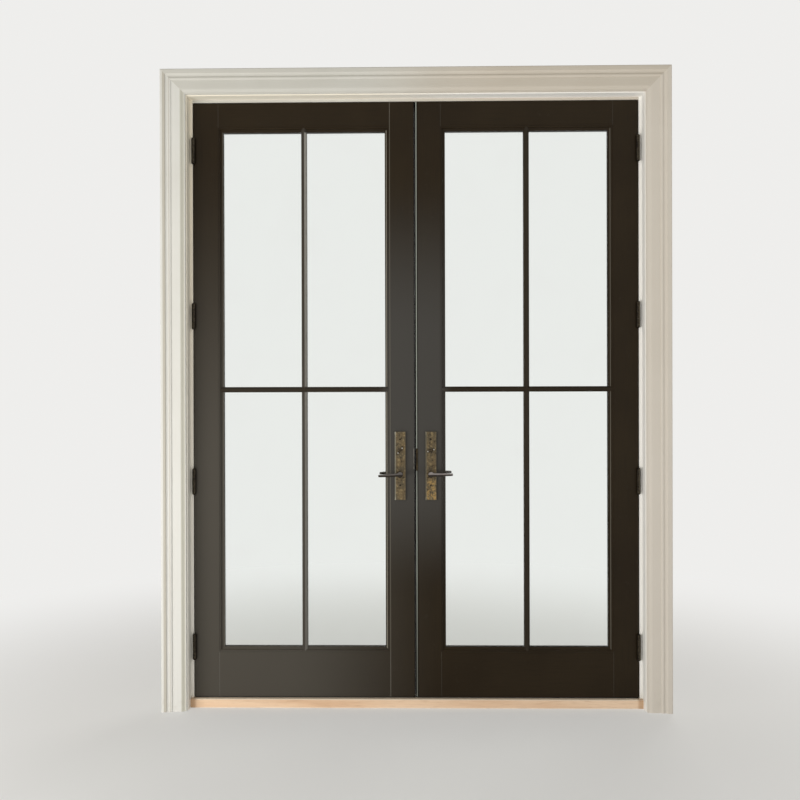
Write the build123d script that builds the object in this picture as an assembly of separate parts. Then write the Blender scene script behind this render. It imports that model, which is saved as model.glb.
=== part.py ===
"""French doors in their frame: two glazed leaves that swing into the room.

Millimetres. X runs to the right as seen from the room, Y from the room to the outside, Z up. The origin is
on the floor, midway between the jambs, in the plane of the closed leaves' room-side faces. What lies on one
side is built on the left (negative X), and the right-hand pieces are its mirror image.
"""

import os

from build123d import *

# Leaves and the gaps round them
leaf_width = 908.0
leaf_height = 2438.0
leaf_thickness = 44.5
meeting_gap = 5.0
hinge_gap = 3.0
head_gap = 3.0
sill_gap = 5.0
arris = 1.5

# Stiles and rails: flat part beside the moulding, and the tenons
stile_flat = 102.0
top_rail_flat = 99.0
bottom_rail_flat = 184.0
tenon_length = 42.0
tenon_thickness = 14.0
tenon_shoulder = 12.0

# Moulding round the glass on the room side: a step, a rounded ovolo, a fillet and a slope down to the glass
step_depth = 1.6
quirk_width = 1.5
ovolo_radius = 7.0
slope_width = 9.0
glass_setback = 14.0
lip_thickness = 2.0

# Insulating glass and the beads that hold it from outside
pane_thickness = 3.0
pane_gap = 12.0
glass_cover = 12.0
pane_clearance = 3.0
spacer_width = 9.0
bead_lip = 2.0
bead_shoulder = 8.5

# Muntin bars
muntin_width = 22.0
muntin_setback = 2.0
muntin_foot = 1.8
outer_muntin_flat = 8.0

# Frame
jamb_thickness = 19.0
jamb_depth = 116.0
stop_width = 12.5
seal_gap = 3.5
seal_width = 9.0
seal_clearance = 0.3
seal_taper = 2.5
frame_reveal = 11.0
extension_depth = 50.0
extension_thickness = 19.0
casing_reveal = 5.0

# Casing section, from its inner edge outwards
casing_lip = 12.0
casing_field = 17.0
casing_band = 25.0
lip_width = 4.0
ogee_width = 17.0
field_width = 33.0
bead_width = 13.0
bead_height = 5.0
cove_width = 13.0
band_width = 19.0
band_bevel = 3.0

# Threshold and sill
threshold_height = 36.0
threshold_nosing = 18.0
nosing_round = 6.0
sill_inner_height = 32.0
sill_outer_height = 13.0
sill_projection = 26.0
sill_ledge = 8.0
sill_nose = 6.0
groove_count = 3
groove_width = 3.0
groove_depth = 1.5

# Hinges
hinge_count = 4
hinge_low = 206.0
hinge_high = 196.0
hinge_height = 102.0
hinge_depth = 32.0
hinge_thickness = 3.0
hinge_inset = 1.7
knuckle_radius = 8.0
knuckle_count = 3
knuckle_gap = 0.3
barrel_clearance = 0.5
pin_radius = 4.0
pin_fit = 0.05

# Lock furniture, heights above the bottom of the leaf
backset = 60.3
lever_height = 915.0
turn_height = 1011.0
latch_height = 948.0
deadbolt_height = 992.0
plate_below = 107.0
plate_above = 77.0
plate_width = 45.0
plate_thickness = 9.0
plate_bevel = 2.0

# Lock case
case_margin = 25.0
case_depth = 78.0
case_thickness = 16.0
front_margin = 37.0
front_width = 22.0
front_thickness = 3.0
spindle_hole = 12.0
tail_hole = 7.6
turn_neck_fit = 0.05
bolt_fit = 0.3

# Levers
neck_radius = 8.0
neck_fit = 0.05
lever_reach = 89.0
lever_head_radius = 12.0
lever_root = 14.0
lever_tip = 10.0
lever_tip_bevel = 2.5
lever_front = 58.0
lever_thickness = 13.0
lever_end_thickness = 8.0
lever_return = 7.0
lever_bend = 0.62
left_lever_droop = 3.5
spindle_size = 8.0
spindle_fit = 0.05
spindle_slot = 22.0
socket_depth = 34.0

# Thumb-turns and the cylinder outside
turn_length = 31.0
turn_width = 9.0
turn_depth = 14.0
turn_clearance = 0.3
turn_neck_radius = 3.75
tail_size = 5.0
turn_slot = 12.0
left_turn_tilt = 50.0
right_turn_tilt = -17.0
cylinder_radius = 11.0
cylinder_height = 4.0
keyway_width = 2.4
keyway_height = 9.0
keyway_depth = 3.0

# Bolts and their strike
latch_thickness = 12.0
latch_height_size = 20.0
latch_length = 42.0
latch_bevel = 9.0
deadbolt_thickness = 14.0
deadbolt_height_size = 28.0
deadbolt_length = 45.0
deadbolt_throw = 20.0
bolt_recess = 0.5
strike_fit = 1.0
pocket_fit = 2.25
astragal_width = 7.0
astragal_groove = 2.5
astragal_groove_depth = 3.0
strike_below = 11.0
strike_above = 13.0
strike_lip = 3.0
strike_tab_depth = 2.0
meeting_seal_width = 8.0
meeting_seal_height = 4.2
meeting_seal_taper = 2.0

# Shoot bolts of the right leaf
rod_width = 12.0
rod_thickness = 10.0
rod_nose = 1.5
rod_fit = 0.3
rod_inset = 20.0
rod_recess = 12.0
rod_throw = 30.0
rod_overlap = 45.0
keeper_length = 60.0
keeper_width = 26.0
keeper_thickness = 2.5
keeper_fit = 0.8

# Door sweep
sweep_width = 36.0
sweep_clearance = 0.4
sweep_fins = 3
fin_width = 3.0
sweep_base = 1.6

# Places that follow from the sizes
pair_half = leaf_width + meeting_gap / 2
rabbet_half = pair_half + hinge_gap
stop_half = rabbet_half - stop_width
jamb_back = rabbet_half + jamb_thickness
extension_half = rabbet_half + frame_reveal
casing_half = extension_half + casing_reveal
casing_width = lip_width + ogee_width + field_width + bead_width + cove_width + band_width
leaf_bottom = threshold_height + sill_gap
leaf_top = leaf_bottom + leaf_height
rabbet_top = leaf_top + head_gap
stop_bottom = rabbet_top - stop_width
extension_top = rabbet_top + frame_reveal
casing_top = extension_top + casing_reveal
stop_face = leaf_thickness + seal_gap
room_wall = -extension_depth
mid_depth = leaf_thickness / 2

moulding_width = 2 * quirk_width + ovolo_radius + slope_width
glass_back = glass_setback + 2 * pane_thickness + pane_gap
rebate_inset = glass_cover + pane_clearance
joint_left = -pair_half + stile_flat
joint_right = -meeting_gap / 2 - stile_flat
joint_low = leaf_bottom + bottom_rail_flat
joint_high = leaf_top - top_rail_flat
glass_mid_x = (joint_left + joint_right) / 2
glass_mid_z = (joint_low + joint_high) / 2

hinge_axis_x = -pair_half + hinge_inset
hinge_axis_y = -(knuckle_radius + barrel_clearance)
lock_axis_x = -meeting_gap / 2 - backset
rod_x = -meeting_gap / 2 - astragal_width - rod_inset

bolts_low = min(latch_height - latch_height_size / 2, deadbolt_height - deadbolt_height_size / 2)
bolts_high = max(latch_height + latch_height_size / 2, deadbolt_height + deadbolt_height_size / 2)
handles_low = min(lever_height, turn_height)
handles_high = max(lever_height, turn_height)
plate_low = handles_low - plate_below
plate_high = handles_high + plate_above
case_low = min(handles_low, bolts_low) - case_margin
case_high = max(handles_high, bolts_high) + case_margin
front_low = case_low - front_margin
front_high = case_high + front_margin
strike_low = bolts_low - strike_below
strike_high = bolts_high + strike_above

ACROSS_RIGHT, ACROSS_LEFT = (1, 0, 0), (-1, 0, 0)
UP, DOWN = (0, 0, 1), (0, 0, -1)
QUARTER = 0.7071


def block(low, high):
    """A box between two opposite corners."""
    size = [b - a for a, b in zip(low, high)]
    return Pos(*low) * Box(*size, align=(Align.MIN, Align.MIN, Align.MIN))


def rod(radius, start, direction, length):
    """A round bar from a point along a direction."""
    plane = Plane(origin=start, z_dir=direction)
    return plane * Cylinder(radius, length, align=(Align.CENTER, Align.CENTER, Align.MIN))


def bar(section, origin, across, along, length):
    """A straight member: its section's first axis lies along across and it runs along along."""
    plane = Plane(origin=origin, x_dir=across, z_dir=along)
    return extrude(plane * section, amount=length, dir=along)


def quarter_round(start, end, centre):
    """A quarter circle from start to end round centre."""
    middle = tuple(c + QUARTER * ((a - c) + (b - c)) for a, b, c in zip(start, end, centre))
    return ThreePointArc(start, middle, end)


def other_side(shape):
    """The mirror image on the right-hand side."""
    return mirror(shape, about=Plane.YZ)


def outside(shape):
    """The mirror image on the outer face of the leaf."""
    return mirror(shape, about=Plane(origin=(0, mid_depth, 0), z_dir=(0, 1, 0)))


def group(shapes):
    """Separate solids that share one node."""
    return Compound([solid for shape in shapes for solid in shape.solids()])


# Leaf frame


def frame_section(flat, edge=0.0, edge_bevel=0.0, groove=0.0):
    """Section of a stile or rail: from its outer edge over the flat and the moulding to the glass rebate."""
    ovolo_start = (flat + quirk_width, step_depth)
    ovolo_end = (flat + quirk_width + ovolo_radius, step_depth + ovolo_radius)
    sight = flat + moulding_width
    face = Polyline((edge + groove, 0), (flat, 0), (flat, step_depth), ovolo_start)
    face += quarter_round(ovolo_start, ovolo_end, (ovolo_start[0], ovolo_end[1]))
    face += Polyline(
        ovolo_end,
        (ovolo_end[0] + quirk_width, ovolo_end[1]),
        (sight, glass_setback - lip_thickness),
        (sight, glass_setback),
        (sight - rebate_inset, glass_setback),
        (sight - rebate_inset, leaf_thickness),
        (edge, leaf_thickness),
    )
    if groove:
        corner, inner = (edge, astragal_groove_depth), (edge + groove, astragal_groove_depth)
        face += Polyline((edge, leaf_thickness), corner, inner, (edge + groove, 0))
    else:
        face += Line((edge, leaf_thickness), (edge, 0))
    section = make_face(face)
    if edge_bevel:
        section = chamfer([v for v in section.vertices() if v.X < edge + 1e-6], edge_bevel)
    return section


def leaf_frame(passive):
    """The two stiles and two rails of a leaf, coped and tenoned together."""
    edge = astragal_width if passive else 0.0
    groove = astragal_groove if passive else 0.0
    hinge_stile = bar(
        frame_section(stile_flat, edge_bevel=arris),
        (-pair_half, 0, leaf_bottom), ACROSS_RIGHT, UP, leaf_height,
    )
    meeting_section = frame_section(stile_flat, edge, 0.0 if passive else arris, groove)
    meeting_stile = bar(meeting_section, (-meeting_gap / 2, 0, leaf_top), ACROSS_LEFT, DOWN, leaf_height)
    rail_length = joint_right - joint_left
    bottom_section = frame_section(bottom_rail_flat)
    bottom_rail = bar(bottom_section, (joint_right, 0, leaf_bottom), UP, ACROSS_LEFT, rail_length)
    top_rail = bar(frame_section(top_rail_flat), (joint_left, 0, leaf_top), DOWN, ACROSS_RIGHT, rail_length)
    stiles = hinge_stile + meeting_stile
    tenon_front, tenon_back = mid_depth - tenon_thickness / 2, mid_depth + tenon_thickness / 2
    tenon_root = moulding_width
    rails = []
    for rail, low, high in (
        (bottom_rail, leaf_bottom + tenon_shoulder, joint_low - tenon_shoulder),
        (top_rail, joint_high + tenon_shoulder, leaf_top - tenon_shoulder),
    ):
        rail -= stiles
        rail += block(
            (joint_left - tenon_length, tenon_front, low), (joint_left + tenon_root, tenon_back, high)
        )
        rail += block(
            (joint_right - tenon_root, tenon_front, low), (joint_right + tenon_length, tenon_back, high)
        )
        rails.append(rail)
    hinge_stile -= rails[0] + rails[1]
    meeting_stile -= rails[0] + rails[1]
    return hinge_stile, meeting_stile, rails[0], rails[1]


# Glass, muntins and beads


def glazing():
    """Two panes, the spacer between them and the four beads behind them."""
    inset = moulding_width - rebate_inset + pane_clearance
    low = (joint_left + inset, joint_low + inset)
    high = (joint_right - inset, joint_high - inset)
    outer_front = glass_back - pane_thickness
    inner = block((low[0], glass_setback, low[1]), (high[0], glass_setback + pane_thickness, high[1]))
    outer = block((low[0], outer_front, low[1]), (high[0], glass_back, high[1]))
    spacer = block((low[0], glass_setback + pane_thickness, low[1]), (high[0], outer_front, high[1]))
    spacer -= block(
        (low[0] + spacer_width, glass_setback, low[1] + spacer_width),
        (high[0] - spacer_width, glass_back, high[1] - spacer_width),
    )
    return inner, outer, spacer


def glazing_beads():
    """Beads in the rebate on the outer side of the glass, the level ones coped to the upright ones."""
    rebate, sight = moulding_width - rebate_inset, moulding_width
    outline = Polyline(
        (rebate, leaf_thickness),
        (rebate, glass_back),
        (sight, glass_back),
        (sight, glass_back + bead_lip),
        (sight - bead_shoulder, leaf_thickness),
        close=True,
    )
    section = make_face(outline)
    height = joint_high - joint_low - 2 * rebate
    width = joint_right - joint_left - 2 * rebate
    left = bar(section, (joint_left, 0, joint_low + rebate), ACROSS_RIGHT, UP, height)
    right = bar(section, (joint_right, 0, joint_high - rebate), ACROSS_LEFT, DOWN, height)
    low = bar(section, (joint_right - rebate, 0, joint_low), UP, ACROSS_LEFT, width) - left - right
    high = bar(section, (joint_left + rebate, 0, joint_high), DOWN, ACROSS_RIGHT, width) - left - right
    return group([left, right, low, high])


def inner_muntin_section():
    """Section of a room-side muntin: flat on the glass, with ovolo sides up to a narrow nose."""
    half = muntin_width / 2
    flat = half - ovolo_radius
    lower = (half, glass_setback - muntin_foot)
    upper = (flat, lower[1] - ovolo_radius)
    side = Line((half, glass_setback), lower)
    side += quarter_round(lower, upper, (upper[0], lower[1]))
    side += Line(upper, (flat, muntin_setback))
    outline = side + mirror(side, about=Plane.YZ)
    outline += Line((flat, muntin_setback), (-flat, muntin_setback))
    outline += Line((half, glass_setback), (-half, glass_setback))
    return make_face(outline)


def outer_muntin_section():
    """Section of an outer muntin: bevelled sides, as the beads have."""
    half, flat = muntin_width / 2, outer_muntin_flat / 2
    lower, nose = glass_back + bead_lip, leaf_thickness - muntin_setback
    points = (
        (-half, glass_back), (-half, lower), (-flat, nose),
        (flat, nose), (half, lower), (half, glass_back),
    )
    return make_face(Polyline(*points, close=True))


def muntins(section, carriers):
    """The cross of bars on one face of the glass, coped against what surrounds it."""
    upright = bar(section, (glass_mid_x, 0, joint_low), ACROSS_RIGHT, UP, joint_high - joint_low)
    level = bar(section, (joint_right, 0, glass_mid_z), UP, ACROSS_LEFT, joint_right - joint_left)
    cross = upright + level
    for carrier in carriers:
        cross -= carrier
    return cross


# Hinges


def hinge_heights():
    """Heights of the hinges' centres, evenly spaced between the lowest and the highest."""
    first = leaf_bottom + hinge_low
    last = leaf_top - hinge_high
    return [first + (last - first) * i / (hinge_count - 1) for i in range(hinge_count)]


def hinge_half(plate_x, height, first_knuckle):
    """One half of a hinge: a plate let into the wood and every second knuckle of the barrel."""
    half = hinge_height / 2
    plate = block((plate_x, 0, height - half), (plate_x + hinge_thickness, hinge_depth, height + half))
    pitch = hinge_height / knuckle_count
    for i in range(first_knuckle, knuckle_count, 2):
        low = height - half + i * pitch + knuckle_gap / 2
        high = low + pitch - knuckle_gap
        plate += block((plate_x, hinge_axis_y, low), (plate_x + hinge_thickness, 0, high))
        plate += rod(knuckle_radius, (hinge_axis_x, hinge_axis_y, low), UP, high - low)
    return plate


def jamb_half(height):
    """The jamb's half of a hinge, with its end knuckles and the pin between them."""
    reach = hinge_height / 2 - knuckle_gap
    pin = rod(pin_radius, (hinge_axis_x, hinge_axis_y, height - reach), UP, 2 * reach)
    return hinge_half(-rabbet_half - hinge_thickness, height, 0) + pin


def leaf_half(height):
    """The leaf's half of a hinge: its knuckle is bored for the pin."""
    start = (hinge_axis_x, hinge_axis_y, height - hinge_height / 2)
    return hinge_half(-pair_half, height, 1) - rod(pin_radius + pin_fit, start, UP, hinge_height)


# Lock and furniture


def at_lock(height):
    """The point of the leaf's room face on the lock's axis at a height above the leaf's bottom."""
    return (lock_axis_x, 0, leaf_bottom + height)


def through(radius, height, start=0.0, end=leaf_thickness):
    """A round bar through the leaf on the lock's axis."""
    x, _, z = at_lock(height)
    return rod(radius, (x, start, z), (0, 1, 0), end - start)


def square_through(size, height, start=0.0, end=leaf_thickness):
    """A square bar through the leaf on the lock's axis."""
    x, _, z = at_lock(height)
    return block((x - size / 2, start, z - size / 2), (x + size / 2, end, z + size / 2))


def lock_envelope(edge_x):
    """The outside of the lock case and its front, as the mortise in the stile."""
    case = block(
        (edge_x - case_depth, mid_depth - case_thickness / 2, leaf_bottom + case_low),
        (edge_x - front_thickness, mid_depth + case_thickness / 2, leaf_bottom + case_high),
    )
    front = block(
        (edge_x - front_thickness, mid_depth - front_width / 2, leaf_bottom + front_low),
        (edge_x, mid_depth + front_width / 2, leaf_bottom + front_high),
    )
    return case + front


def bolt_space(edge_x, depth, thickness, size, height):
    """The slot of a bolt, from the lock's front inwards."""
    return block(
        (edge_x - depth, mid_depth - thickness / 2, leaf_bottom + height - size / 2),
        (edge_x, mid_depth + thickness / 2, leaf_bottom + height + size / 2),
    )


def lock_case(edge_x, spaces):
    """Lock case with openings for the spindle and the thumb-turn's tail, and its bolt spaces."""
    case = lock_envelope(edge_x)
    case -= square_through(spindle_hole, lever_height)
    case -= square_through(tail_hole, turn_height)
    for space in spaces:
        case -= space
    return case


def latch_bolt(edge_x):
    """Latch bolt, withdrawn, with its bevel on the outer side where it meets the strike on closing."""
    nose = edge_x - bolt_recess
    half_y, half_z = latch_thickness / 2, latch_height_size / 2
    z = leaf_bottom + latch_height
    tail = nose - latch_length
    bolt = block((tail, mid_depth - half_y, z - half_z), (nose, mid_depth + half_y, z + half_z))
    corner = bolt.edges().filter_by(Axis.Z).sort_by(lambda e: e.center().X + e.center().Y)[-1]
    return chamfer(corner, latch_bevel)


def deadbolt(edge_x):
    """Deadbolt, withdrawn."""
    nose = edge_x - bolt_recess
    half_y, half_z = deadbolt_thickness / 2, deadbolt_height_size / 2
    z = leaf_bottom + deadbolt_height
    tail = nose - deadbolt_length
    return block((tail, mid_depth - half_y, z - half_z), (nose, mid_depth + half_y, z + half_z))


def escutcheon():
    """The long plate on the room face, bevelled all round, with the bore of the lever's neck."""
    x, _, z = at_lock(plate_low)
    top = leaf_bottom + plate_high
    plate = block((x - plate_width / 2, -plate_thickness, z), (x + plate_width / 2, 0, top))
    plate = chamfer(plate.faces().sort_by(Axis.Y)[0].edges(), plate_bevel)
    return plate - through(neck_radius + neck_fit, lever_height, -plate_thickness, 0)


def inside_escutcheon():
    """Room-side plate, bored for the thumb-turn's neck too."""
    return escutcheon() - through(turn_neck_radius + turn_neck_fit, turn_height, -plate_thickness, 0)


def outside_escutcheon(keyed):
    """Outer plate, on the leaf that locks with the face of a key cylinder."""
    plate = escutcheon()
    if keyed:
        front = -plate_thickness - cylinder_height
        x, _, z = at_lock(turn_height)
        plate += through(cylinder_radius, turn_height, front, 0)
        plate -= block(
            (x - keyway_width / 2, front, z - keyway_height / 2),
            (x + keyway_width / 2, front + keyway_depth, z + keyway_height / 2),
        )
    return outside(plate)


def lever_arm():
    """A lever and its neck about the spindle's axis: pointing to -X, on the room side of the leaf."""
    half_root, half_tip = lever_root / 2, lever_tip / 2
    shoulder = lever_tip_bevel - lever_reach
    upper = ((0, half_root), (shoulder, half_tip), (-lever_reach, half_tip - lever_tip_bevel))
    lower = [(x, -z) for x, z in reversed(upper)]
    front = make_face(Polyline(*upper, *lower, close=True)) + Circle(lever_head_radius)
    face, back = -lever_front, lever_thickness - lever_front
    side_view = extrude(Plane.XZ * front, amount=lever_front, dir=(0, -1, 0))
    bend = -lever_bend * lever_reach
    tip_face = face + lever_return
    top = Polyline(
        (lever_head_radius, face),
        (bend, face),
        (-lever_reach, tip_face),
        (-lever_reach, tip_face + lever_end_thickness),
        (bend, back),
        (lever_head_radius, back),
        close=True,
    )
    top_view = Pos(0, 0, -lever_head_radius) * extrude(make_face(top), amount=2 * lever_head_radius, dir=UP)
    return (side_view & top_view) + rod(neck_radius, (0, back, 0), (0, 1, 0), -back)


def inside_lever(droop):
    """Room-side lever with the square socket for the spindle."""
    socket = block(
        (-spindle_size / 2 - spindle_fit, -socket_depth - spindle_fit, -spindle_size / 2 - spindle_fit),
        (spindle_size / 2 + spindle_fit, 0, spindle_size / 2 + spindle_fit),
    )
    return Pos(*at_lock(lever_height)) * Rot(0, -droop, 0) * (lever_arm() - socket)


def outside_lever(droop):
    """Outer lever with the square spindle that turns the lock and the inner lever."""
    half = spindle_size / 2
    spindle = block((-half, -socket_depth, -half), (half, leaf_thickness, half))
    return Pos(*at_lock(lever_height)) * Rot(0, -droop, 0) * (outside(lever_arm()) + spindle)


def thumb_turn(tilt):
    """Thumb-turn: an oval grip on a round neck, with a square tail that reaches into the lock case."""
    back = -plate_thickness - turn_clearance
    plane = Plane(origin=(0, back, 0), x_dir=(1, 0, 0), z_dir=(0, -1, 0))
    grip = extrude(plane * SlotOverall(turn_length, turn_width), amount=turn_depth, dir=(0, -1, 0))
    neck = rod(turn_neck_radius, (0, back, 0), (0, 1, 0), -back)
    half = tail_size / 2
    tail = block((-half, 0, -half), (half, mid_depth + case_thickness / 2, half))
    return Pos(*at_lock(turn_height)) * Rot(0, -tilt, 0) * (grip + neck + tail)


# Meeting edge and shoot bolts of the passive leaf


def astragal_section(width):
    """Section of the strip on the meeting edge, with a round nose to the room."""
    nose = width / 2
    outline = Polyline((0, nose), (0, leaf_thickness), (width, leaf_thickness), (width, nose))
    outline += ThreePointArc((width, nose), (nose, 0), (0, nose))
    return make_face(outline)


def meeting_pieces():
    """Astragal in two lengths, the rubber seal on it, and the strike between them."""
    edge = -meeting_gap / 2
    strike_bottom, strike_top = leaf_bottom + strike_low, leaf_bottom + strike_high
    spans = ((leaf_bottom, strike_bottom), (strike_top, leaf_top))
    strips, seals = [], []
    for low, high in spans:
        strips.append(
            bar(astragal_section(astragal_width), (edge, 0, high), ACROSS_LEFT, DOWN, high - low)
        )
        half, tip = meeting_seal_width / 2, meeting_seal_width / 2 - meeting_seal_taper
        height = meeting_seal_height
        ridge = Polyline((0, -half), (height, -tip), (height, tip), (0, half), close=True)
        seals.append(Pos(edge, mid_depth, low) * extrude(make_face(ridge), amount=high - low, dir=UP))
    strike = block(
        (edge - astragal_width, strike_lip, strike_bottom), (edge, leaf_thickness - strike_lip, strike_top)
    )
    strike += block(
        (edge - astragal_width, 0, strike_bottom), (edge - strike_tab_depth, strike_lip, strike_top)
    )
    for thickness, size, height in (
        (latch_thickness, latch_height_size, latch_height),
        (deadbolt_thickness, deadbolt_height_size, deadbolt_height),
    ):
        strike -= bolt_space(edge, astragal_width, thickness + 2 * strike_fit, size + 2 * strike_fit, height)
    return group(strips), group(seals), strike


def rod_space(low, high, fit=0.0):
    """The room of a shoot bolt's rod between two heights."""
    half_x, half_y = rod_width / 2 + fit, rod_thickness / 2 + fit
    return block((rod_x - half_x, mid_depth - half_y, low), (rod_x + half_x, mid_depth + half_y, high))


def shoot_bolts():
    """Upper and lower shoot bolt, withdrawn, and the channels that they run in."""
    top_start = leaf_bottom + case_high - rod_overlap
    bottom_start = leaf_bottom + case_low + rod_overlap
    upper = rod_space(top_start, leaf_top - rod_recess)
    upper = chamfer(upper.faces().sort_by(Axis.Z)[-1].edges(), rod_nose)
    lower = rod_space(leaf_bottom + rod_recess, bottom_start)
    lower = chamfer(lower.faces().sort_by(Axis.Z)[0].edges(), rod_nose)
    channels = [rod_space(top_start, leaf_top, rod_fit), rod_space(leaf_bottom, bottom_start, rod_fit)]
    return upper, lower, channels


def keeper(height, down):
    """Keeper plate let into the wood at a height, and the socket behind it for the bolt."""
    reach = rod_throw - rod_recess
    plate_low, socket_low = (height - keeper_thickness, height - reach) if down else (height, height)
    plate = block(
        (rod_x - keeper_length / 2, mid_depth - keeper_width / 2, plate_low),
        (rod_x + keeper_length / 2, mid_depth + keeper_width / 2, plate_low + keeper_thickness),
    )
    socket = rod_space(socket_low, socket_low + reach, keeper_fit)
    return other_side(plate - socket), other_side(plate + socket)


def door_sweep():
    """Flexible sweep under the leaf: a base with fins that reach almost to the threshold."""
    length = leaf_width - 2 * arris
    start_y = mid_depth - sweep_width / 2
    reach = sill_gap - sweep_clearance
    outline = Rectangle(sweep_width, sweep_base, align=(Align.MIN, Align.MIN))
    pitch = (sweep_width - fin_width) / (sweep_fins - 1)
    for i in range(sweep_fins):
        outline += Pos(i * pitch, 0) * Rectangle(fin_width, reach, align=(Align.MIN, Align.MIN))
    plane = Plane(origin=(-pair_half + arris, start_y, leaf_bottom), x_dir=(0, 1, 0), z_dir=(1, 0, 0))
    flipped = mirror(outline, about=Plane.XZ)
    return extrude(plane * flipped, amount=length, dir=(1, 0, 0))


# Frame


def left_jamb():
    """Rabbeted jamb with its stop, from the floor to the top of the head jamb."""
    points = (
        (-rabbet_half, 0),
        (-jamb_back, 0),
        (-jamb_back, jamb_depth),
        (-stop_half, jamb_depth),
        (-stop_half, stop_face),
        (-rabbet_half, stop_face),
    )
    return extrude(make_face(Polyline(*points, close=True)), amount=rabbet_top + jamb_thickness, dir=UP)


def head_jamb(jambs):
    """Head jamb between the side jambs, with the same rabbet."""
    points = (
        (0, rabbet_top),
        (0, rabbet_top + jamb_thickness),
        (jamb_depth, rabbet_top + jamb_thickness),
        (jamb_depth, stop_bottom),
        (stop_face, stop_bottom),
        (stop_face, rabbet_top),
    )
    plane = Plane(origin=(-rabbet_half, 0, 0), x_dir=(0, 1, 0), z_dir=(1, 0, 0))
    head = extrude(plane * make_face(Polyline(*points, close=True)), amount=2 * rabbet_half, dir=ACROSS_RIGHT)
    for jamb in jambs:
        head -= jamb
    return head


def extension_jambs():
    """The left extension jamb and the one over the head, between the side ones."""
    top = extension_top + extension_thickness
    side = block((-extension_half - extension_thickness, room_wall, 0), (-extension_half, 0, top))
    head = block((-extension_half, room_wall, extension_top), (extension_half, 0, top))
    return side, head


def casing_section():
    """Casing section: inner lip, ogee, flat field, bead, cove and raised outer band."""
    ogee_start = (lip_width, casing_lip)
    ogee_end = (lip_width + ogee_width, casing_field)
    ogee_mid = tuple((a + b) / 2 for a, b in zip(ogee_start, ogee_end))
    field_end = (ogee_end[0] + field_width, casing_field)
    bead_end = (field_end[0] + bead_width, casing_field + bead_height / 2)
    cove_end = (bead_end[0] + cove_width, casing_band)
    outer = cove_end[0] + band_width
    outline = Polyline((0, 0), (0, casing_lip - arris), (arris, casing_lip), ogee_start)
    outline += TangentArc(ogee_start, ogee_mid, tangent=(1, 0))
    outline += TangentArc(ogee_end, ogee_mid, tangent=(-1, 0))
    outline += Polyline(ogee_end, field_end)
    outline += ThreePointArc(
        field_end, ((field_end[0] + bead_end[0]) / 2, casing_field + bead_height), bead_end
    )
    outline += ThreePointArc(
        bead_end,
        (bead_end[0] + cove_width * QUARTER, bead_end[1] + (casing_band - bead_end[1]) * 0.3),
        cove_end,
    )
    outline += Polyline(
        cove_end, (outer - band_bevel, casing_band), (outer, casing_band - band_bevel), (outer, 0), (0, 0)
    )
    return make_face(outline)


def casings():
    """Left and head casing, mitred at the corners."""
    section = casing_section()
    left_mitre = Plane(origin=(-casing_half, 0, casing_top), x_dir=(0, 1, 0), z_dir=(1, 0, 1))
    right_mitre = Plane(origin=(casing_half, 0, casing_top), x_dir=(0, 1, 0), z_dir=(-1, 0, 1))
    full_height = casing_top + casing_width
    full_width = 2 * (casing_half + casing_width)
    left = bar(section, (-casing_half, room_wall, 0), ACROSS_LEFT, UP, full_height)
    left = split(left, bisect_by=left_mitre, keep=Keep.BOTTOM)
    head = bar(section, (-full_width / 2, room_wall, casing_top), UP, ACROSS_RIGHT, full_width)
    for mitre in (left_mitre, right_mitre):
        head = split(head, bisect_by=mitre, keep=Keep.TOP)
    return left, head


def weatherstrips():
    """Foam strips on the room side of the stops: two uprights and one over the head."""
    height = seal_gap - seal_clearance
    half, crest = seal_width / 2, seal_width / 2 - seal_taper
    section = make_face(Polyline((-half, 0), (-crest, -height), (crest, -height), (half, 0), close=True))
    inset = (stop_width - seal_width) / 2
    side_x = -stop_half - inset - seal_width / 2
    head_z = stop_bottom + inset + seal_width / 2
    upright = Pos(side_x, stop_face, leaf_bottom) * extrude(section, amount=rabbet_top - leaf_bottom, dir=UP)
    head_start = side_x + seal_width / 2
    head_plane = Plane(origin=(head_start, stop_face, head_z), x_dir=(0, 0, -1), z_dir=(1, 0, 0))
    head = extrude(head_plane * section, amount=-2 * head_start, dir=ACROSS_RIGHT)
    return group([upright, other_side(upright), head])


def oak_threshold(jambs):
    """Oak threshold from its rounded front to the stops, cut round the jambs."""
    points = ((-threshold_nosing, 0), (-threshold_nosing, threshold_height), (stop_face, threshold_height),
              (stop_face, 0))
    plane = Plane(origin=(-extension_half, 0, 0), x_dir=(0, 1, 0), z_dir=(1, 0, 0))
    outline = plane * make_face(Polyline(*points, close=True))
    threshold = extrude(outline, amount=2 * extension_half, dir=ACROSS_RIGHT)
    top_front = threshold.edges().filter_by(Axis.X).sort_by(lambda e: e.center().Z - e.center().Y)[-1]
    threshold = fillet(top_front, nosing_round)
    for jamb in jambs:
        threshold -= jamb
    return threshold


def exterior_sill(jambs):
    """Sloped sill outside the threshold, with drip grooves along it and horns under the jambs' edges."""
    front = jamb_depth + sill_projection
    ledge = stop_face + sill_ledge
    points = (
        (stop_face, 0),
        (stop_face, sill_inner_height),
        (ledge, sill_inner_height),
        (front - sill_nose, sill_outer_height),
        (front, sill_outer_height - sill_nose / 2),
        (front, 0),
    )
    plane = Plane(origin=(-jamb_back, 0, 0), x_dir=(0, 1, 0), z_dir=(1, 0, 0))
    sill = extrude(plane * make_face(Polyline(*points, close=True)), amount=2 * jamb_back, dir=ACROSS_RIGHT)
    slope = (sill_inner_height - sill_outer_height) / (front - sill_nose - ledge)
    pitch = (front - sill_nose - ledge) / (groove_count + 1)
    for i in range(1, groove_count + 1):
        y = ledge + i * pitch
        floor = sill_inner_height - slope * i * pitch - groove_depth
        low, high = y - groove_width / 2, y + groove_width / 2
        sill -= block((-jamb_back, low, floor), (jamb_back, high, sill_inner_height))
    for jamb in jambs:
        sill -= jamb
    return sill


# Putting the pieces together


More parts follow.
